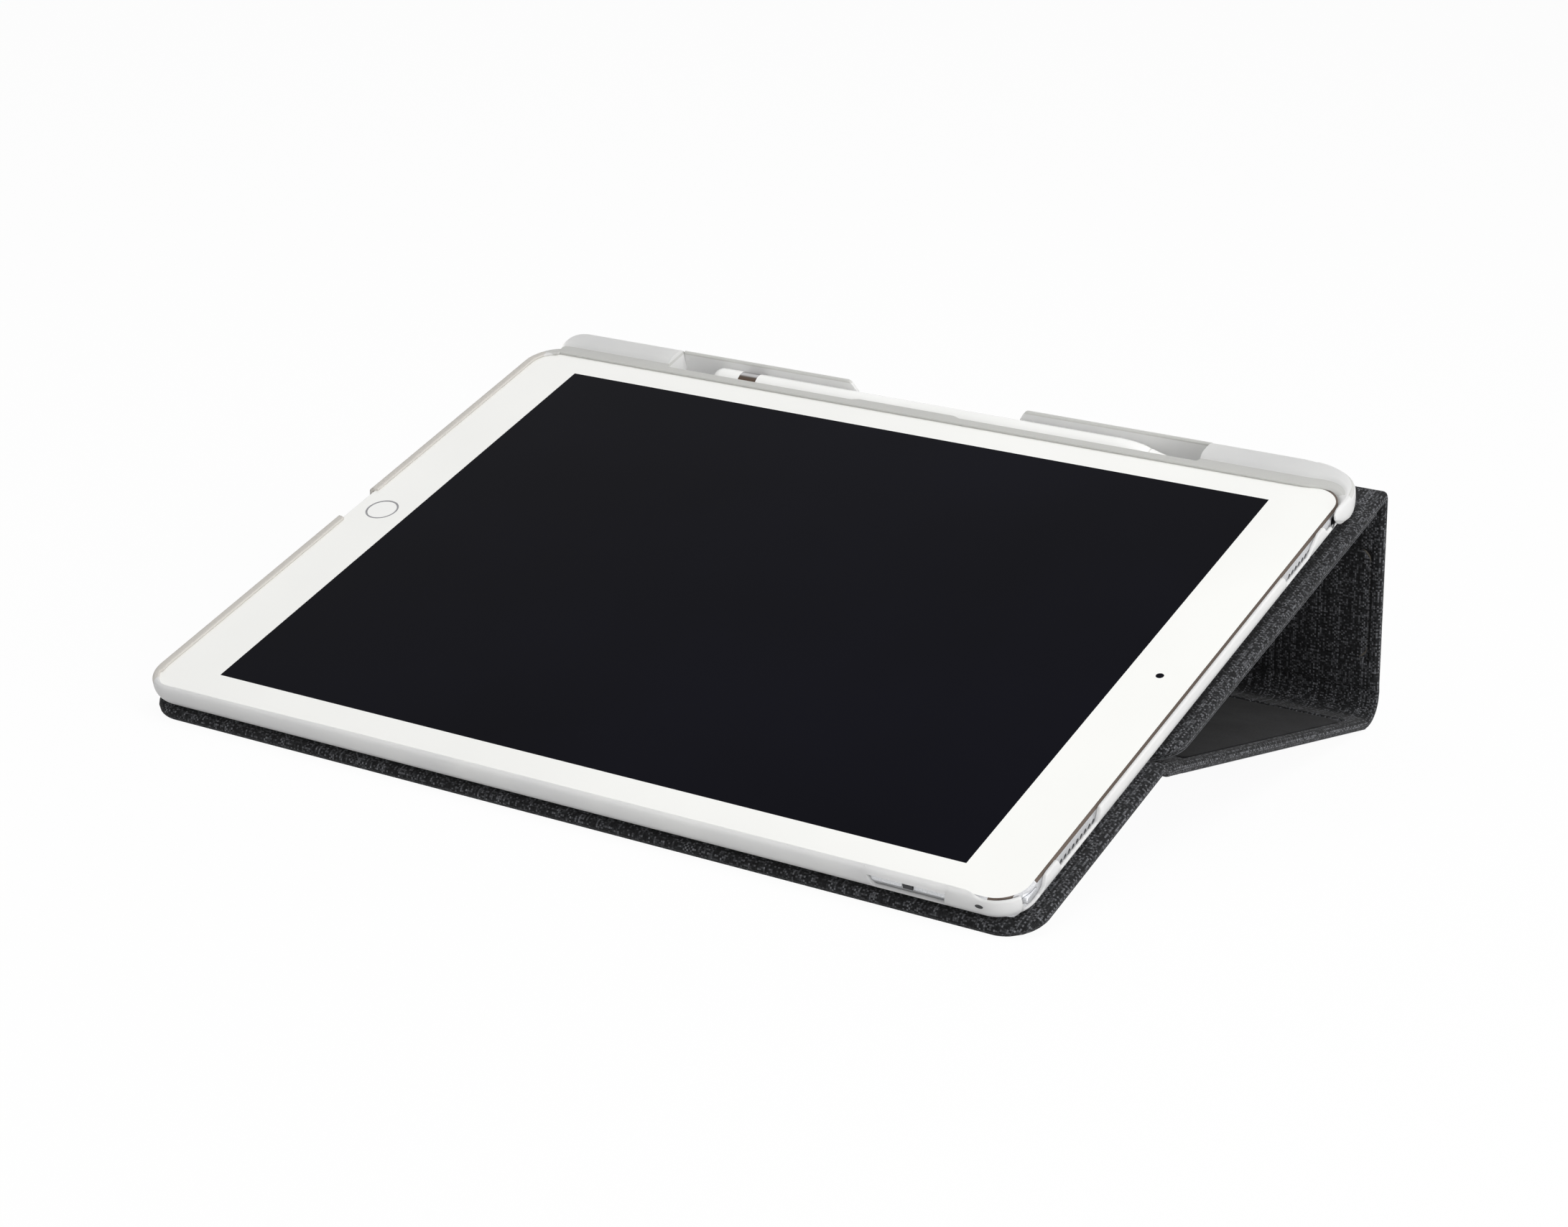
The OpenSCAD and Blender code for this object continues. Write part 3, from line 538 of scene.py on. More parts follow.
# points round a rounded rectangle, set in by inset: straight runs and quarter circles, as one loop
def outlinePath(width, y0, y1, r0, r1, inset=0.0, step=1.5):
    half = width / 2 - inset
    y0, y1 = y0 + inset, y1 - inset
    r0, r1 = max(r0 - inset, 0.3), max(r1 - inset, 0.3)
    corners = ((half - r0, y0 + r0, r0, -90), (half - r1, y1 - r1, r1, 0), (r1 - half, y1 - r1, r1, 90),
               (r0 - half, y0 + r0, r0, 180))
    corner = np.concatenate([arc(cx, cy, r, a, a + 90, max(4, int(r * 1.6 / step)) + 2)
                             for cx, cy, r, a in corners])
    ahead = np.roll(corner, -1, axis=0)
    steps = np.maximum(1, (np.linalg.norm(ahead - corner, axis=1) / step).astype(int))
    return np.concatenate([a + (b - a) * np.linspace(0, 1, n, endpoint=False)[:, None]
                           for a, b, n in zip(corner, ahead, steps)])


# a round cord along a closed flat path: each point plus radius (cos t n + sin t Z), n the path's normal
def loopCord(path, z, radius, sides=6):
    ahead = np.roll(path, -1, axis=0) - np.roll(path, 1, axis=0)
    ahead /= np.linalg.norm(ahead, axis=1, keepdims=True)
    normal = np.stack([ahead[:, 1], -ahead[:, 0]], -1)
    t = np.linspace(0, 2 * math.pi, sides, endpoint=False)
    flat = path[:, None, :] + radius * np.cos(t)[None, :, None] * normal[:, None, :]
    height = np.broadcast_to(z + radius * np.sin(t)[None, :, None], flat.shape[:2] + (1,))
    return np.concatenate([flat, height], -1).reshape(-1, 3), [gridFaces(len(path), sides, True, True)]


# the sewn cover is a little shorter than its solid at the left, where it ends level with the tray
cover = dict(left=-154.3, right=156.9)
coverWidth = cover["right"] - cover["left"]
coverMiddle = vec((cover["right"] + cover["left"]) / 2 * mm, 0, 0)
seamHeights = dict(back=-1.2, support=1.2)
endBorder = folio["endBorder"]
# each panel: its frame, its run from y0 to y1, corner radii, body, and the side border where it is its own
panels = dict(
    near=dict(at=glassAt + mm * (-folio["nearReach"] * trayV + (folio["underTray"] - halfThick) * trayN),
              v=trayV, n=trayN, y0=0.0, y1=folio["nearLength"], r0=12.0, r1=2.0, body="tray",
              sideBorder=13.0),
    back=dict(at=nearAxis, v=backV, n=backN, y0=folio["foldGap"], y1=folio["backLength"] + halfThick,
              r0=3.6, r1=2.0, body="stand"),
    riser=dict(at=riserAxis, v=riserV, n=riserN, y0=1.6, y1=folio["riserLength"] - folio["foldGap"],
               r0=2.0, r1=2.0, body="riser"),
    support=dict(at=topAxis, v=supportV, n=supportN, y0=folio["foldGap"], y1=folio["supportLength"],
                 r0=2.0, r1=12.0, body="support"))


def addPanel(key, p):
    at = p["at"] + coverMiddle
    shape = (p["y0"], p["y1"], p["r0"], p["r1"])
    sideBorder = p.get("sideBorder", folio["sideBorder"])
    points, faces, uv = padShell(coverWidth, *shape, thick, (sideBorder, endBorder, padding["recess"]),
                                 padding["crown"], padding["waves"])
    piece = addPiece(key + "PanelCover", [(placed(points, at, p["v"], p["n"]), faces)], woven, p["body"],
                     [key + "_panel"], uv)
    # the lining fills the border's recess, a hair below the border's face; the riser's is woven cloth again
    look, slotName = (woven, "woven_cover") if key == "riser" else (lining, "smooth_lining")
    gap, corner = padding["liningGap"], padding["liningCorner"]
    farEnd = p["y1"] - endBorder - (halfThick if key == "back" else 0)
    points, faces, uv = padShell(coverWidth - 2 * sideBorder - 2 * gap, p["y0"] + endBorder + gap,
                                 farEnd - gap, corner, corner, padding["liningThick"])
    points = points + vec(0, 0, halfThick - padding["liningSink"])
    piece = addPiece(key + "Lining", [(placed(points, at, p["v"], p["n"]), faces)], look, p["body"],
                     [key + "_lining"], uv)
    if key in seamHeights:
        path = outlinePath(coverWidth, *shape, padding["seamInset"])
        points, faces = loopCord(path, seamHeights[key], padding["seamRadius"])
        addPiece(key + "EdgeSeam", [(placed(points, at, p["v"], p["n"]), faces)], seamYarn, p["body"])


for key, p in panels.items():
    addPanel(key, p)
print("panels ready")


# Y and Z alone
def sideView(p):
    return np.array([p[1], p[2]])


# points (along, off) in millimetres from a fold's axis, along a panel's direction and off its middle
def fromFold(axis, along, off, pairs):
    p = np.asarray(pairs, float) * mm
    return sideView(axis) + p[:, :1] * sideView(along) + p[:, 1:] * sideView(off)


# cloth between two side lines in Y and Z, carried in X; towards each end of X both lines close on the line
# midway between them as sqrt(1 - (1 - d/edge)^2), so that the fold has the panels' rolled edge
def foldBody(name, outer, inner, node):
    middle = (outer + inner) / 2
    edge, half = halfThick, coverWidth / 2
    away = edge * (1 - np.cos(np.linspace(0, math.pi / 2, 8)))
    x = np.concatenate([away - half, np.linspace(edge + 2 - half, half - edge - 2, 70), (half - away)[::-1]])
    d = half - np.abs(x)
    roll = np.sqrt(np.clip(1 - (1 - np.clip(d / edge, 0, 1)) ** 2, 0, 1))
    loop = np.concatenate([outer, inner[::-1]])
    centre = np.concatenate([middle, middle[::-1]])
    points = np.zeros((len(x), len(loop), 3))
    points[..., 0] = x[:, None] * mm + coverMiddle[0]
    points[..., 1:] = centre[None] + (loop - centre)[None] * roll[:, None, None]
    ends = np.zeros((2, len(middle), 3))
    ends[..., 0] = (half * mm * np.array([-1, 1]))[:, None] + coverMiddle[0]
    ends[..., 1:] = middle[None]
    run = np.concatenate([[0], np.cumsum(np.linalg.norm(np.diff(middle, axis=0), axis=1))])
    runLoop = np.concatenate([run, run[::-1] + 0.9])                  # the inner face has threads of its own
    short = 1 - np.clip(d / edge, 0, 1)
    side = np.sign(x) * (np.abs(x) + edge * (np.arcsin(short) - short)) * mm
    uv = np.stack([np.broadcast_to(side[:, None], points.shape[:2]),
                   np.broadcast_to(runLoop, points.shape[:2])], -1)
    endUv = np.stack([np.broadcast_to(side[[0, -1]][:, None], (2, len(run))),
                      np.broadcast_to(run, (2, len(run)))], -1)
    count, rows, mid = len(loop), len(x) - 2, len(middle)
    faces = [gridFaces(rows, count, False, True)]
    for k, row in ((0, 0), (1, rows - 1)):                            # the rolled edge's last row is one line
        line = rows * count + k * mid + np.arange(mid)
        ring = row * count + np.arange(count)
        a, c = np.arange(mid - 1), np.arange(mid - 1) + 1
        upper = np.stack([ring[a], ring[c], line[c], line[a]], -1)
        lower = np.stack([ring[count - 1 - c], ring[count - 1 - a], line[a], line[c]], -1)
        caps = np.array([[ring[count - 1], ring[0], line[0]], [ring[mid - 1], ring[mid], line[mid - 1]]])
        turn = slice(None, None, 1 if k else -1)
        faces += [upper[:, turn], lower[:, turn], caps[:, turn]]
    allPoints = np.concatenate([points[1:-1].reshape(-1, 3), ends.reshape(-1, 3)])
    allUv = np.concatenate([uv[1:-1].reshape(-1, 2), endUv.reshape(-1, 2)])
    piece = addPiece(name, [(allPoints, faces)], woven, None, [node], allUv)
    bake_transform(piece)


flush = halfThick + 0.03      # how far off the middle a fold's face is where it covers a panel's rolled end
tucked = halfThick - 0.06     # and at the fold's own ends, just inside the panel's face


# points beside one panel, at places along it from the fold's axis and offset off its middle
def straightRun(axis, along, off, places, offset):
    return fromFold(axis, along, off, np.stack([places, np.broadcast_to(offset, len(places))], -1))


# near fold: out of the near panel's end, over the axis, and round the back panel's end at its full thickness;
# its upper face stays below the support panel's tip
nearTray = [(-9.0, 0.3), (-6.0, 0.2), (-3.0, 0.08), (-1.2, 0.02)]
nearTrayTop = [(-9.0, 3.3), (-6.0, 3.35), (-3.0, 3.4), (-1.2, 2.9)]
nearBack = [(0.1, -0.9), (0.5, -1.3), (1.1, -1.6), (2.0, -1.78), (3.0, -flush), (4.4, -flush), (6.0, -flush),
            (7.6, -flush), (8.9, -flush), (10.4, -tucked), (12.0, -tucked)]
nearBackTop = [(-0.2, 1.2), (0.5, 0.86), (1.1, 0.84), (2.0, 0.86), (3.0, 1.05), (4.4, 1.6), (6.0, flush),
               (7.6, flush), (8.9, flush), (10.4, tucked), (12.0, tucked)]
outerLine, innerLine = (np.concatenate([fromFold(nearAxis, trayV, trayN, traySide),
                                        fromFold(nearAxis, backV, backN, backSide)])
                        for traySide, backSide in ((nearTray, nearBack), (nearTrayTop, nearBackTop)))
foldBody("nearFoldCloth", outerLine, innerLine,
         "near_fold")

# top fold: the outer face turns round the axis flush with both panels, and the inner faces meet in a crease
riserSide, supportSide = (topAxis, riserV, riserN), (topAxis, supportV, supportN)
topBend = arc(0, 0, flush, folio["riserLean"], 90 + folio["supportAngle"], 11) * mm + sideView(topAxis)
outerLine = np.concatenate([straightRun(*riserSide, np.linspace(-11.0, -9.6, 3), -tucked),
                            straightRun(*riserSide, np.linspace(-8.8, -0.6, 7), -flush), topBend,
                            straightRun(*supportSide, np.linspace(0.6, 8.8, 7), -flush),
                            straightRun(*supportSide, np.linspace(9.6, 11.0, 3), -tucked)])
crease = halfThick / math.tan(math.radians((90 + folio["riserLean"] - folio["supportAngle"]) / 2))
innerLine = np.concatenate([straightRun(*riserSide, np.linspace(-11.0, -9.6, 3), tucked),
                            straightRun(*riserSide, np.linspace(-8.8, -crease - 0.6, 11), flush),
                            fromFold(*riserSide, [(-crease - 0.15, halfThick - 0.1)]),
                            fromFold(*supportSide, [(crease + 0.15, halfThick - 0.1)]),
                            straightRun(*supportSide, np.linspace(crease + 0.6, 8.8, 12), flush),
                            straightRun(*supportSide, np.linspace(9.6, 11.0, 3), tucked)])
foldBody("topFoldCloth", outerLine, innerLine,
         "top_fold")

# spine: from the back panel's end, round the bend, to the crease inside the riser's foot
bendAngles = (folio["backSlope"] - 90, folio["riserLean"])
backPlaces = np.array([-6.0, -4.6, -3.4, -1.8, -0.5]) + folio["backLength"]
backOffsets = np.array([tucked, tucked, flush, flush, flush])
riserPlaces = np.array([0.0, 0.5, 1.1, 2.0, 3.0, 4.2, 5.6])
outerOffsets = np.interp(riserPlaces, [0, 3.6, 4.2], [flush, flush, tucked])
innerOffsets = np.interp(riserPlaces, [0, 0.5, 1.1, 2.0, 3.0, 3.8, 4.2],
                         [1.6, 1.2, 1.05, 1.3, 1.7, flush, tucked])
outerLine = np.concatenate([straightRun(nearAxis, backV, backN, backPlaces, -backOffsets),
                            arc(0, 0, spineMiddle + flush, *bendAngles, 34) * mm + sideView(spineCentre),
                            straightRun(riserAxis, riserV, riserN, riserPlaces, -outerOffsets)])
innerLine = np.concatenate([straightRun(nearAxis, backV, backN, backPlaces, backOffsets),
                            arc(0, 0, spineMiddle - flush, *bendAngles, 34) * mm + sideView(spineCentre),
                            straightRun(riserAxis, riserV, riserN, riserPlaces, innerOffsets)])
foldBody("spineCloth", outerLine, innerLine,
         "spine")
print("folds ready")

# the clear tray in the tablet's own millimetres: X along it, Y across it, Z up from the glass
tray = dict(halfLength=154.25, halfWidth=111.7, corner=11.4, edge=5.6, underside=-7.7, floorTop=-6.9,
            wall=1.3, lipTop=0.9, lipUnder=0.05, lowWall=-0.35, farWall=-2.0, gapShare=0.51, lipLeft=3.4,
            lipNear=2.1, lipFar=3.8, lipThinning=0.9, lipTrim=0.42, bendLeft=1.5, bendNear=0.9, arcKnots=13,
            keysAt=119.7, keysHalf=13.4, keysTop=-1.1, portHalf=9.6, plugAt=98.0, plugHeight=-2.7,
            plugRadius=3.2)
# where the wall changes on its way round, along or across the tray; a pair is the start and end of an easing
wallPlaces = dict(right=143.0, far=100.4, left=-146.0, near=-105.0, leftEnd=-150.0, leftEase=(146.0, 153.0),
                  farEase=(98, 110), thinEase=(60, 150), rightLipEase=(136.5, 143.5),
                  farLipEase=(-146.0, -143.0), keysEase=2.8, portEase=2.4)


# the tray's outline from the near-left corner round to the right: straight runs and quarter circles, with the
# inward normal at each point
def trayOutline():
    r = tray["corner"]
    x, y = tray["halfLength"] - r, tray["halfWidth"] - r
    nearRun = spread([-x, 102, 110, 130, x], [62, 22, 8, 34])
    rightRun = spread([-y, -98, -89, -84, -66, -61, 59, 65, 85, 92, y], [6, 6, 14, 6, 14, 34, 14, 6, 16, 24])
    leftRun = spread([y, 11.5, 6, -6, -11.5, -y], [26, 16, 6, 16, 26])
    farRun = spread([x, -x], [60])
    rows = []
    for along, fixed, normal, flip in ((nearRun, -y - r, (0, 1), 0), (rightRun, x + r, (-1, 0), 1),
                                       (farRun, y + r, (0, -1), 0), (leftRun, -x - r, (1, 0), 1)):
        place = np.stack([along, np.full(len(along), fixed)], -1)
        rows.append(np.concatenate([place[:, ::-1] if flip else place, np.tile(normal, (len(along), 1))], -1))
    for k, (cx, cy, a) in enumerate(((x, -y, -90), (x, y, 0), (-x, y, 90), (-x, -y, 180))):
        way = arc(0, 0, 1, a, a + 90, 26)[1:-1]
        rows.insert(2 * k + 1, np.concatenate([way * r + (cx, cy), -way], -1))
    return np.concatenate(rows)


# section of the wall: outer side and inner side at the same knots, each as (inward, height)
def wallSection(reach, bend):
    e, base, top, under, wall = (tray[k] for k in ("edge", "underside", "lipTop", "lipUnder", "wall"))
    t = np.linspace(0, math.pi / 2, tray["arcKnots"])
    outer = np.concatenate([[(8, base)], np.stack([e - e * np.sin(t), base + e - e * np.cos(t)], -1),
                            arc(bend, top - bend, bend, 180, 90, 9), [(reach, top)]])
    innerR = e - 1.0
    curve = np.stack([wall + innerR * (1 - np.sin(t)), tray["floorTop"] + innerR * (1 - np.cos(t))], -1)
    inner = np.concatenate([[(8, tray["floorTop"])], curve,
                            evenly([(wall, under - 0.6), (wall, under), (max(bend, wall + 0.3), under)], 9),
                            [(reach, under)]])
    return outer, inner


# how low the right-hand wall drops at each opening: (start, end, height, width of the slope at each)
wallGaps = ((-106.4, -94.6, -5.4, 0.8, 3.2), (-88.6, -62.4, -4.8, 2.2, 2.8), (59.0, 82.5, -4.8, 2.6, 2.2),
            (88.6, 130.0, -4.2, 3.2, 1.0))


# the low wall's height round the outline, with the openings in the right-hand one and the round for a plug
def wallTop(x, y, side):
    top = np.full(len(x), tray["lowWall"])
    for start, end, foot, near, far in wallGaps:
        inside = smoothStep(y, start, start + near) * (1 - smoothStep(y, end - far, end)) * (side == 1)
        top = top + (foot - top) * inside
    plug, r = tray["plugAt"] - y, tray["plugRadius"]
    cup = tray["plugHeight"] - np.sqrt(np.clip(r ** 2 - plug ** 2, 0, None))
    return np.where((side == 1) & (np.abs(plug) < r), np.minimum(top, cup), top)


# the wall carried round the outline; at each station its section is cut at that station's own length, which
# gives the full lip, the low wall and the gaps, and the cut end is rounded as a half circle between the sides
def trayWall():
    line = trayOutline()
    x, y = line[:, 0], line[:, 1]
    side = np.where(x > wallPlaces["right"], 1, 0)
    farSide = (y > wallPlaces["far"]) & (x > wallPlaces["left"])
    nearSide = y < wallPlaces["near"]
    leftShare = smoothStep(-x, *wallPlaces["leftEase"])
    farShare = smoothStep(y, *wallPlaces["farEase"])
    reach = tray["lipNear"] + (tray["lipFar"] - tray["lipNear"]) * farShare
    reach = reach + (tray["lipLeft"] - reach) * leftShare
    reach = reach - tray["lipThinning"] * smoothStep(-x, *wallPlaces["thinEase"]) * nearSide
    bend = tray["bendNear"] + (tray["bendLeft"] - tray["bendNear"]) * leftShare
    low = wallTop(x, y, side)
    low = np.where(farSide & (x < wallPlaces["right"]), tray["farWall"], low)
    keysOpen = smoothStep(tray["keysHalf"] - np.abs(x - tray["keysAt"]), 0, wallPlaces["keysEase"])
    portOpen = smoothStep(tray["portHalf"] - np.abs(y), 0, wallPlaces["portEase"])
    openness = np.maximum(keysOpen * nearSide, portOpen * (x < wallPlaces["leftEnd"]))
    fullLip = ((1 - smoothStep(x, *wallPlaces["rightLipEase"]))
               * (1 - farSide * smoothStep(x, *wallPlaces["farLipEase"])))
    fractions = np.concatenate([np.linspace(0, 0.55, 14)[:-1], np.linspace(0.55, 1, 26)])
    tips = np.linspace(0, math.pi, 7)[1:-1]
    arcTop = tray["underside"] + tray["edge"]
    loops = []
    for k in range(len(x)):
        outer, inner = wallSection(reach[k], bend[k])
        run = np.concatenate([[0], np.cumsum(np.linalg.norm(np.diff(outer, axis=0), axis=1))])
        bottom, shoulder = run[1], run[tray["arcKnots"]]              # where the outer curve starts and ends
        rise = low[k] - arcTop
        turn = np.arccos(np.clip(-rise / tray["edge"], 0, 1)) / (math.pi / 2)
        lowLength = shoulder + rise if rise > 0 else bottom + (shoulder - bottom) * turn
        gapLength = bottom + (shoulder - bottom) * tray["gapShare"]
        length = lowLength + (run[-1] - tray["lipTrim"] - lowLength) * fullLip[k]
        length += (gapLength - length) * openness[k]
        at = fractions * length
        a, b = (np.stack([np.interp(at, run, s[:, j]) for j in (0, 1)], -1) for s in (outer, inner))
        arm = (a[-1] - b[-1]) / 2
        ahead = np.array([arm[1], -arm[0]])
        tip = (a[-1] + b[-1]) / 2 + np.cos(tips)[:, None] * arm + np.sin(tips)[:, None] * ahead
        loops.append(np.concatenate([a, tip, b[::-1]]))
    loops = np.array(loops)
    plan = line[:, None, :2] + loops[..., :1] * line[:, None, 2:]
    points = np.concatenate([plan, loops[..., 1:]], -1)
    rows, cols = points.shape[:2]
    ring = np.arange(rows) * cols
    walls = gridFaces(rows, cols, True, False)
    return points.reshape(-1, 3), [walls, ring[None, ::-1], (ring + cols - 1)[None]]


# the wall's upper part over the opening for the two near keys, closed below: sunk into the wall by sink, with
# chamfered lower corners, and lap longer than the opening at each end
bridge = dict(sink=0.02, chamfer=0.15, lap=0.7, stations=30, outerIn=0.03, lowerIn=0.18)


def keyBridge():
    outer, inner = wallSection(tray["lipNear"], tray["bendNear"])
    outer, inner = outer[outer[:, 1] > tray["keysTop"]], inner[(inner[:, 1] > -0.6) & (inner[:, 0] > 1.2)]
    wall, low, chamfer = tray["wall"], tray["keysTop"], bridge["chamfer"]
    section = np.concatenate([[(bridge["outerIn"], low + chamfer)], outer + (bridge["sink"], -bridge["sink"]),
                              inner[::-1] + (0, bridge["sink"]),
                              [(wall, low + chamfer), (wall - chamfer, low), (bridge["lowerIn"], low)]])
    x = np.linspace(-1, 1, bridge["stations"]) * (tray["keysHalf"] + bridge["lap"]) + tray["keysAt"]
    points = np.zeros((len(x), len(section), 3))
    points[..., 0] = x[:, None]
    points[..., 1] = section[:, 0] - tray["halfWidth"]
    points[..., 2] = section[:, 1]
    return points.reshape(-1, 3), tubeFaces(*points.shape[:2])


# the stylus holder along the far side: two rails in plan, and a section between them for each station, as
# (share or distance across, height), from under the lip, over the top, down the outside and back underneath
holder = dict(inner=107.9, outer=123.55, left=-145.6, leftRun=6.2, leftDraw=9.4, leftPower=3.2,
              drawFrom=3.6, straightTo=133.0, lipRoot=2.6, lipStart=0.95, lip=3.5, bump=1.0, bumpFrom=-24.0,
              bumpTo=12.0, channelEnd=101.0, notch=31.0, notchRim=-5.5, rim=1.0, axisAcross=9.7,
              axisHeight=-4.95, seat=4.65, blockTop=2.25, floor=-10.4, footTop=-6.0, footRound=4.4,
              notchEase=(-2.6, 3.4), bendEase=(0.12, 0.78), tail=7, tailShare=0.94)
innerBend = [(133, 107.9), (139, 108.1), (143.6, 108.9), (148.0, 108.6), (151.3, 106.4), (152.9, 103.4),
             (153.2, 100.4), (153.2, 96.6)]
outerBend = [(133, 123.55), (138, 123.2), (143, 122.2), (148, 120.0), (151.9, 116.7), (154.2, 112.4),
             (155.3, 106.4), (154.9, 96.4)]
segmentCounts = (9, 4, 46, 15, 10)
# the rounded edge of the lip in section, from its root underneath to its top
lipEdge = [(holder["lipRoot"], tray["lipUnder"]), (holder["lipStart"], tray["lipUnder"]),
           *arc(holder["lipStart"], 0.46, 0.42, -90, -270, 8)]


# a section's five runs, each spaced evenly with its own count of points
def joined(parts):
    return np.concatenate([evenly(p, n) for p, n in zip(parts, segmentCounts)])


# the section's lower runs, the same for the blocks and the channel: the flank from top to foot and round the
# lower edge, and the underside back to the lip's root
def lowerRuns(w, top, foot):
    r, root = holder["footRound"], holder["lipRoot"]
    return [[(w, top), (w, foot), *arc(w - r, holder["footTop"], r, 0, -90, 10)],
            [(w - r, holder["floor"]), (root, holder["floor"]), (root, tray["lipUnder"])]]


# from the lip up over a hump to the block's top, and down the outside
def blockSection(w):
    over = [(holder["lipStart"], 0.88), (4.9, 0.9)]
    crest = smoothLine([(5.2, 1.0), (5.9, 1.6), (6.9, 2.1), (8.4, holder["blockTop"]), (w - 4.0, 2.2),
                        (w - 2.0, 1.75), (w - 0.7, 0.7), (w - 0.05, -1.0)], 6)
    hump = [(4.9, 0.9), *crest, (w, -1.2)]
    return joined([lipEdge, over, hump, *lowerRuns(w, -1.2, holder["footTop"])])


# from the lip down into the round seat and up the outer wall: top is that wall's height, lip the lip's width
def channelSection(w, top, lip):
    cx, cz, r = holder["axisAcross"], holder["axisHeight"], holder["seat"]
    inside = np.array([(lip, 0.9), (lip + 0.25, 0.82), (lip + 0.4, 0.5), (lip + 0.45, 0.0),
                       (max(lip + 0.5, cx - r - 0.4), -2.5), *arc(cx, cz, r, 180, 360, 22),
                       (cx + r, top - 0.4), (cx + r + 0.2, top - 0.1), (cx + r + 0.65, top),
                       (w - 0.2, top - 0.15), (w, top - 0.6)])
    outerSide = inside[:, 0] > cx
    inside[:, 1] = np.where(outerSide, np.minimum(inside[:, 1], np.maximum(top, cz - 2.0)), inside[:, 1])
    return joined([lipEdge, [(holder["lipStart"], 0.88), (lip, 0.9)], inside,
                   *lowerRuns(w, top - 0.6, min(holder["footTop"], top - 0.7))])


# round the corner the section is w wide: it draws in below, and gets shallower as it gets narrower
def wrapSection(w):
    base = -3.6 - 3.9 * min(1.0, max(0.0, (w - 2.0) / 7.0))
    fall = base + 0.9
    return joined([[(0, base + 0.8), (0, -0.3), (0.08 * w, 0.4), (0.2 * w, 0.75)],
                   [(0.2 * w, 0.75), (0.35 * w, 1.0)],
                   [(0.35 * w, 1.0), (0.5 * w, 1.1), (0.75 * w, 0.9), (0.93 * w, 0.2), (w, -0.9)],
                   [(w, -0.9), (0.99 * w, -0.9 + 0.35 * fall), (0.93 * w, -0.9 + 0.65 * fall),
                    (0.82 * w, -0.9 + 0.87 * fall), (0.66 * w, base)],
                   [(0.66 * w, base), (0.12 * w, base), (0, base + 0.8)]])


# the blocks and the channel between them, then the bend round the far corner
def holderShell():
    ease = 1 - np.cos(np.linspace(0, math.pi / 2, 15))
    end, notch, straightTo = holder["channelEnd"], holder["notch"], holder["straightTo"]
    leftEnd = holder["left"] + holder["leftRun"]
    u = np.concatenate([holder["left"] + holder["leftRun"] * ease, spread([leftEnd, -end - 0.25], [14])[1:],
                        spread([-end + 0.25, -notch - 7, -notch + 2, notch - 2, notch + 7, end - 0.25],
                               [24, 16, 48, 16, 24]), spread([end + 0.25, straightTo], [12])])
    straight = np.stack([u, np.full(len(u), holder["inner"])], -1)
    t = np.clip((u - holder["left"]) / holder["leftRun"], 0, 1)
    power = holder["leftPower"]
    bulge = 1 - (1 - (1 - t) ** power) ** (1 / power)                 # the left end's corner in plan
    outerRail = np.stack([u, holder["outer"] - holder["leftDraw"] * bulge], -1)
    innerCorner, outerCorner = (smoothLine(line, 8)[1:] for line in (innerBend, outerBend))
    inner = np.concatenate([straight, innerCorner])
    outer = np.concatenate([outerRail, outerCorner])
    across = outer - inner
    width = np.linalg.norm(across, axis=1)
    across = across / width[:, None]
    bent = smoothStep(np.linspace(0, 1, len(innerCorner)), *holder["bendEase"])
    corner = np.concatenate([np.zeros(len(u)), bent])
    uAll = np.concatenate([u, np.full(len(innerCorner), straightTo)])
    channel = np.abs(uAll) < end
    slope = smoothStep(np.abs(uAll), notch + holder["notchEase"][0], notch + holder["notchEase"][1])
    top = holder["notchRim"] + (holder["rim"] - holder["notchRim"]) * slope
    onBump = (smoothStep(uAll, holder["bumpFrom"] - 3, holder["bumpFrom"])
              * (1 - smoothStep(uAll, holder["bumpTo"], holder["bumpTo"] + 3)))
    lip = holder["lip"] + holder["bump"] * onBump
    full = holder["outer"] - holder["inner"]
    drawFrom, over, under = holder["drawFrom"], tray["lipTop"], tray["underside"]
    sections = []
    for k in range(len(uAll)):
        part = channelSection(full, top[k], lip[k]) if channel[k] else blockSection(full)
        if width[k] < full and corner[k] == 0:                        # the left end draws in and rounds over
            g = math.sqrt(1 - (1 - min(1.0, 0.3 + t[min(k, len(t) - 1)] * 7)) ** 2)
            drawn = drawFrom + (part[:, 0] - drawFrom) * (width[k] - drawFrom) / (full - drawFrom)
            part[:, 0] = np.where(part[:, 0] > drawFrom, drawn, part[:, 0])
            part[:, 1] = np.where(part[:, 1] > over, over + (part[:, 1] - over) * g, part[:, 1])
            part[:, 1] = np.where(part[:, 1] < under, under + (part[:, 1] - under) * g, part[:, 1])
        if corner[k] > 0 or k >= len(u):
            part[:, 0] = part[:, 0] * width[k] / full
            part = part + (wrapSection(width[k]) - part) * corner[k]
        sections.append(part)
    sections = np.array(sections)
    shrink = np.ones(len(uAll))                                       # the bend's end is rounded off
    shrink[-holder["tail"]:] = np.sqrt(1 - np.linspace(0.0, holder["tailShare"], holder["tail"]) ** 2)
    centre = sections.mean(axis=1, keepdims=True)
    sections = centre + (sections - centre) * shrink[:, None, None]
    plan = inner[:, None] + sections[..., :1] * across[:, None]
    points = np.concatenate([plan, sections[..., 1:]], -1)
    return points.reshape(-1, 3), tubeFaces(*points.shape[:2])


trayShells = [(inTray(points), faces) for points, faces in (trayWall(), holderShell(), keyBridge())]
addPiece("clearTray", trayShells, clearTpu, "tray", ["clear_tray"], sharp=40)

# the opening for the microphone in painted shade: a dark oval solid let into the near wall, from its face
# inwards, in place of the shaded hole
micHole = dict(along=142.2, height=-2.1, halfLength=1.25, halfHeight=0.62, face=-111.73, back=-111.2,
               sides=28)


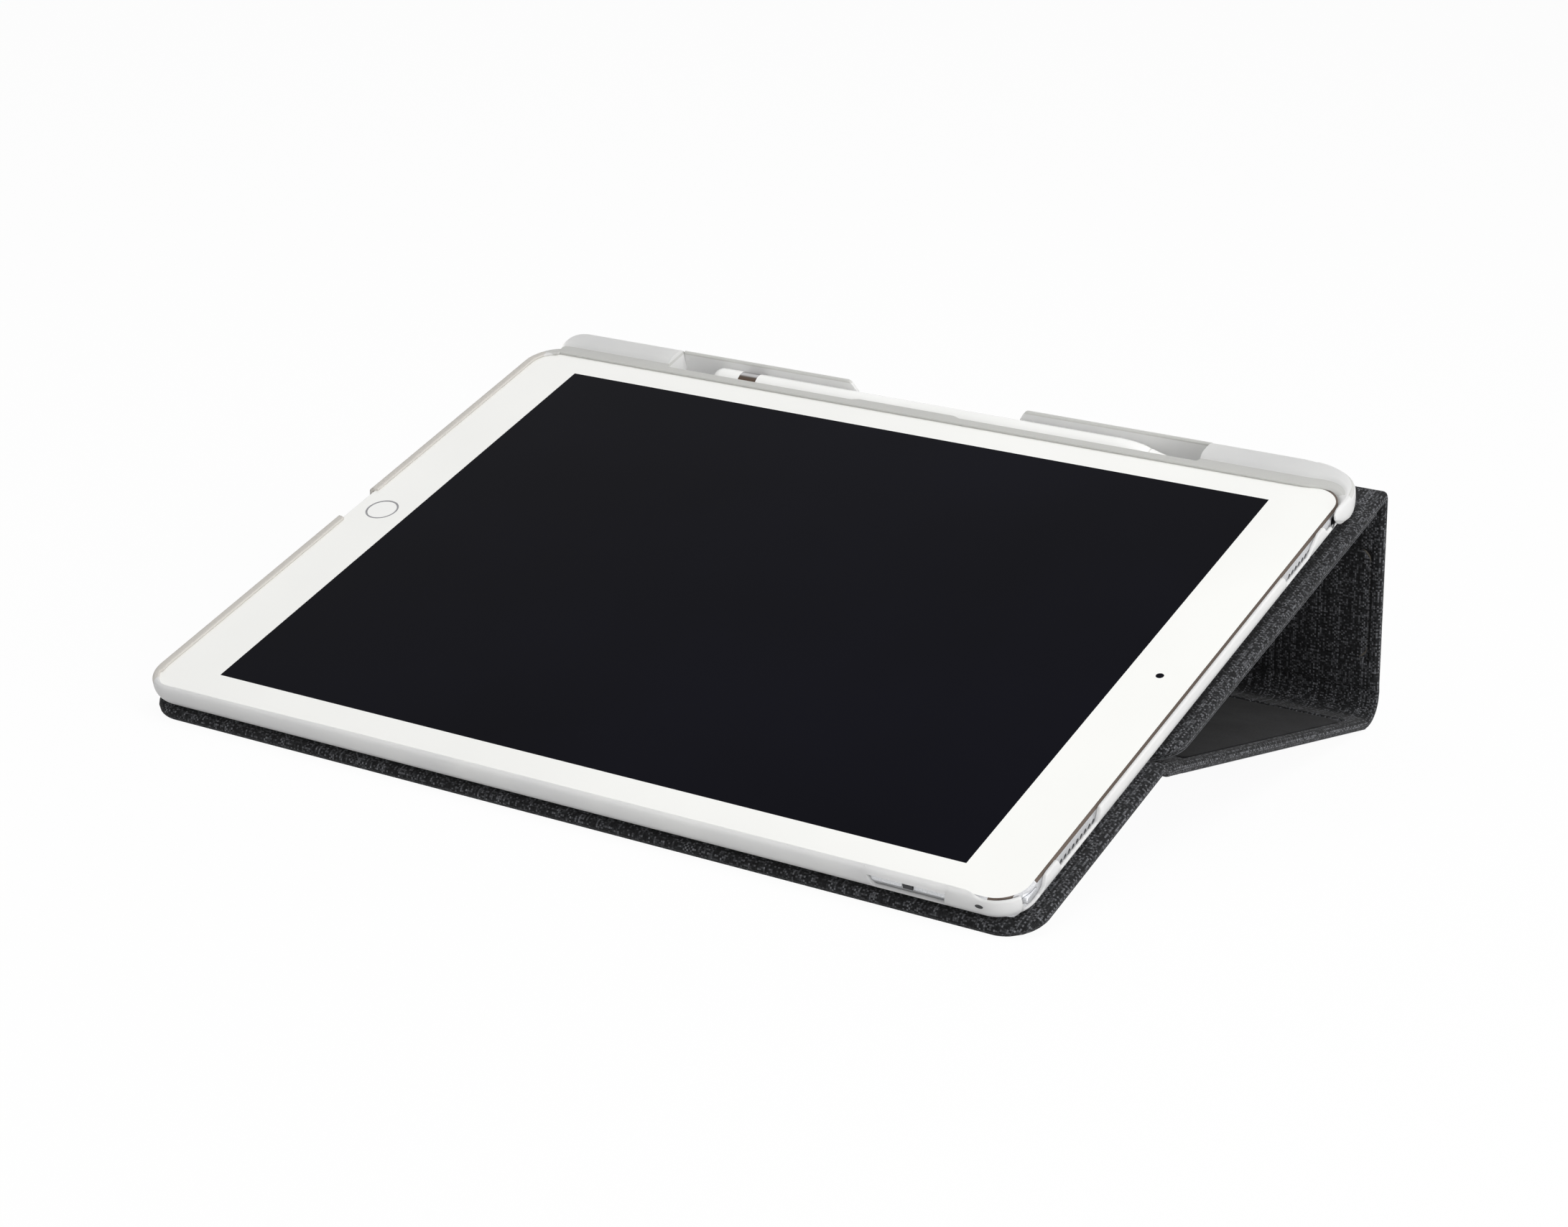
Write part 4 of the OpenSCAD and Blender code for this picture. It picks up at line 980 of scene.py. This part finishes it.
def micOpening():
    turn = np.linspace(0, 2 * math.pi, micHole["sides"], endpoint=False)
    along = micHole["along"] + micHole["halfLength"] * np.cos(turn)
    height = micHole["height"] + micHole["halfHeight"] * np.sin(turn)
    rings = [np.stack([along, np.full(len(turn), v), height], -1) for v in (micHole["face"], micHole["back"])]
    return inTray(np.concatenate(rings)), tubeFaces(2, micHole["sides"])


addPiece("micOpening", [micOpening()], darkFittingAndPaintedShade, "tray", sharp=35)
print("tray ready")

# the stylus lies along X in the holder, its cap to the left; places are from its left end
stylus = dict(start=-86.0, across=117.6, height=-4.95, radius=4.45, capDome=3.9, capPower=0.8, capLength=11.6,
              length=175.7, tipLength=20.0, grooveAt=167.2)


# a profile of (along, radius) turned about X, with a pole at each end
def revolved(profile, count=56):
    p = np.asarray(profile, float)
    t = np.linspace(0, 2 * math.pi, count, endpoint=False)
    body = p[1:-1]
    along = np.broadcast_to(body[:, :1], (len(body), count))
    ring = np.stack([along, body[:, 1:] * np.cos(t), body[:, 1:] * np.sin(t)], -1).reshape(-1, 3)
    poles = np.array([[p[0, 0], 0, 0], [p[-1, 0], 0, 0]])
    n = len(ring)
    j = np.arange(count)
    k = (j + 1) % count
    firstFan = np.stack([j, k, np.full(count, n)], -1)
    lastFan = np.stack([n - count + k, n - count + j, np.full(count, n + 1)], -1)
    return np.concatenate([ring, poles]), [gridFaces(len(body), count, False, True), firstFan, lastFan]


def addStylusPart(name, profile, material, node):
    points, faces = revolved(profile)
    points = points + vec(stylus["start"], stylus["across"], stylus["height"])
    addPiece(name, [(inTray(points), faces)], material, "stylus", [node], sharp=35)


capR, capEnd = stylus["radius"], stylus["capLength"]
turn = np.linspace(math.pi / 2, 0, 12)
capRound = np.stack([stylus["capDome"] * (1 - np.sin(turn)), capR * np.cos(turn) ** stylus["capPower"]], -1)
capFoot = [(capEnd - 0.15, capR), (capEnd, capR - 0.15), (capEnd, 0)]
addStylusPart("stylusCap", np.concatenate([capRound, capFoot]), whitePlastic, "stylus_cap")
tipStart, tipEnd, groove = stylus["length"] - stylus["tipLength"], stylus["length"], stylus["grooveAt"]
taper = smoothLine([(tipStart, capR), (tipStart + 5, 4.12), (tipStart + 9, 3.45), (groove - 0.3, 2.75)], 8)
tipGroove = [(groove - 0.25, 2.3), (groove + 0.25, 2.25)]
nib = smoothLine([(groove + 0.3, 2.7), (groove + 3.5, 1.9), (tipEnd - 1.6, 1.15), (tipEnd - 0.5, 0.8),
                  (tipEnd, 0.0)], 8)
addStylusPart("stylusTip", np.concatenate([[(tipStart, 0)], taper, tipGroove, nib]), whitePlastic,
              "stylus_tip")

sideKey = dict(height=2.0, round=0.35, depth=1.5)
toRight, toFar, toNear = (1, 0, 0), (0, 1, 0), (0, -1, 0)
# each side key: its CAD node, body and length, the middle of its outer face, and its directions along and out
sideKeys = dict(volumeUpKey=("volume_up", "volume_up_key", 10.2, (112.95, -110.7, -2.4), toRight, toNear),
                volumeDownKey=("volume_down", "volume_down_key", 10.2, (126.55, -110.7, -2.4), toRight,
                               toNear),
                powerKey=("power_button", "power_key", 6.4, (153.25, -102.0, -2.4), toFar, toRight))
# the painted shade's box between the volume keys, between two corners
keySlot = dict(low=(118.25, -110.78, -3.3), high=(121.25, -110.35, -1.5))


# a stadium plate with a rounded front edge, from rings of the outline set in by round (1 - cos)
def addKey(name, node, body, length, place, along, out):
    h = sideKey["height"] / 2
    turn = np.linspace(0, math.pi / 2, 6)
    insets = np.concatenate([[0], sideKey["round"] * (1 - np.cos(turn))])
    depths = np.concatenate([[-sideKey["depth"]], sideKey["round"] * (np.sin(turn) - 1)])
    s = length / 2 - h
    rings = []
    for inset, depth in zip(insets, depths):
        ring = np.concatenate([arc(s, 0, h - inset, -90, 90, 14), arc(-s, 0, h - inset, 90, 270, 14)])
        rings.append(np.concatenate([ring, np.full((len(ring), 1), depth)], -1))
    grid = np.array(rings)
    flat = grid.reshape(-1, 3)
    points = (np.array(place) + flat[:, :1] * np.array(along) + flat[:, 1:2] * vec(0, 0, 1)
              + flat[:, 2:] * np.array(out))
    addPiece(name, [(inTray(points), tubeFaces(*grid.shape[:2]))], aluminium, body, [node],
             sharp=35)


# the closed box between two corners
def slotBox(low, high):
    spans = list(zip(low, high))
    corners = np.array([(x, y, z) for z in spans[2] for y in spans[1] for x in spans[0]])
    sides = np.array([(0, 2, 3, 1), (4, 5, 7, 6), (0, 1, 5, 4), (2, 6, 7, 3), (0, 4, 6, 2), (1, 3, 7, 5)])
    return inTray(corners), [sides]


for name, key in sideKeys.items():
    addKey(name, *key)
# the slot between the two volume keys: a dark box of painted shade where the gap between them is in shade
addPiece("keySlot", [slotBox(**keySlot)], darkFittingAndPaintedShade, "tray", sharp=35)
print("stylus and keys ready")

# the floor is a pale grey that shows almost white; lamps are squares of size metres, all aimed at one place
floorLook = dict(halfSize=40.0, colour="#efefef", shown=0.95)
worldLight = 0.47
lampAim = (0, 0, 0.04)
lamps = dict(rightSoftbox=dict(place=(1.9, -0.4, 0.7), size=1.3, power=26.0),
             topSoftbox=dict(place=(0.6, -0.2, 1.9), size=1.6, power=17.0))
cameraSet = dict(place=(0.528807, -0.866640, 0.334632), aim=(0.007522, -0.005002, 0.037409), roll=2.528,
                 lens=77.41)
white = toLinear("#ffffff")


# 1 for a ray from the camera, off a gloss or through glass, and 0 for one that lights the object
def seenRays(tree):
    rays = addNode(tree, "LightPath").outputs
    other = addNode(tree, "Math", [rays["Is Glossy Ray"], rays["Is Transmission Ray"]], operation="MAXIMUM")
    return addNode(tree, "Math", [rays["Is Camera Ray"], other], operation="MAXIMUM")


# the floor is lit as a pale floor, and shows as nearly pure white to the eye and in reflections
def addFloor():
    size = floorLook["halfSize"]
    material, tree = startMaterial("paleFloor")
    plain = addNode(tree, "BsdfDiffuse", {"Color": toLinear(floorLook["colour"])})
    glow = addNode(tree, "Emission", {"Color": white, "Strength": 1.0})
    share = addNode(tree, "Math", [seenRays(tree), floorLook["shown"]], operation="MULTIPLY")
    mixed = addNode(tree, "MixShader", [share, plain, glow])
    addNode(tree, "OutputMaterial", [mixed])
    mesh = bpy.data.meshes.new("floor")
    corners = [(-size, -size, 0), (size, -size, 0), (size, size, 0), (-size, size, 0)]
    mesh.from_pydata(corners, [], [(0, 1, 2, 3)])
    mesh.materials.append(material)
    floor = bpy.data.objects.new("floor", mesh)
    scene.collection.objects.link(floor)


def addWorld():
    world = bpy.data.worlds.new("studio")
    scene.world = world
    world.use_nodes = True
    tree = world.node_tree
    tree.nodes.clear()
    light = addNode(tree, "Background", {"Color": white, "Strength": worldLight})
    shown = addNode(tree, "Background", {"Color": white, "Strength": 1.0})
    mixed = addNode(tree, "MixShader", [seenRays(tree), light, shown])
    addNode(tree, "OutputWorld", [mixed])


def addLamp(name, place, size, power):
    light = bpy.data.lights.new(name, "AREA")
    light.shape = "RECTANGLE"
    light.size = light.size_y = size
    light.energy = power
    lamp = bpy.data.objects.new(name, light)
    lamp.location = place
    lamp.rotation_euler = (Vector(lampAim) - Vector(place)).to_track_quat("-Z", "Y").to_euler()
    scene.collection.objects.link(lamp)


# looks from place to aim, then turns about its own axis by roll degrees
def addCamera(place, aim, roll, lens):
    data = bpy.data.cameras.new("camera")
    data.lens = lens
    data.sensor_width = 36.0
    data.clip_start, data.clip_end = 0.01, 100.0
    camera = bpy.data.objects.new("camera", data)
    ahead = (Vector(aim) - Vector(place)).normalized()
    right = ahead.cross(Vector((0, 0, 1))).normalized()
    up = right.cross(ahead)
    a = math.radians(roll)
    right, up = right * math.cos(a) + up * math.sin(a), up * math.cos(a) - right * math.sin(a)
    turn = Matrix((right, up, -ahead)).transposed().to_4x4()
    camera.matrix_world = Matrix.Translation(place) @ turn
    scene.collection.objects.link(camera)
    scene.camera = camera


addFloor()
addWorld()
for name, lamp in lamps.items():
    addLamp(name, **lamp)
addCamera(**cameraSet)
scene.view_settings.view_transform = "Standard"
print("stage ready")
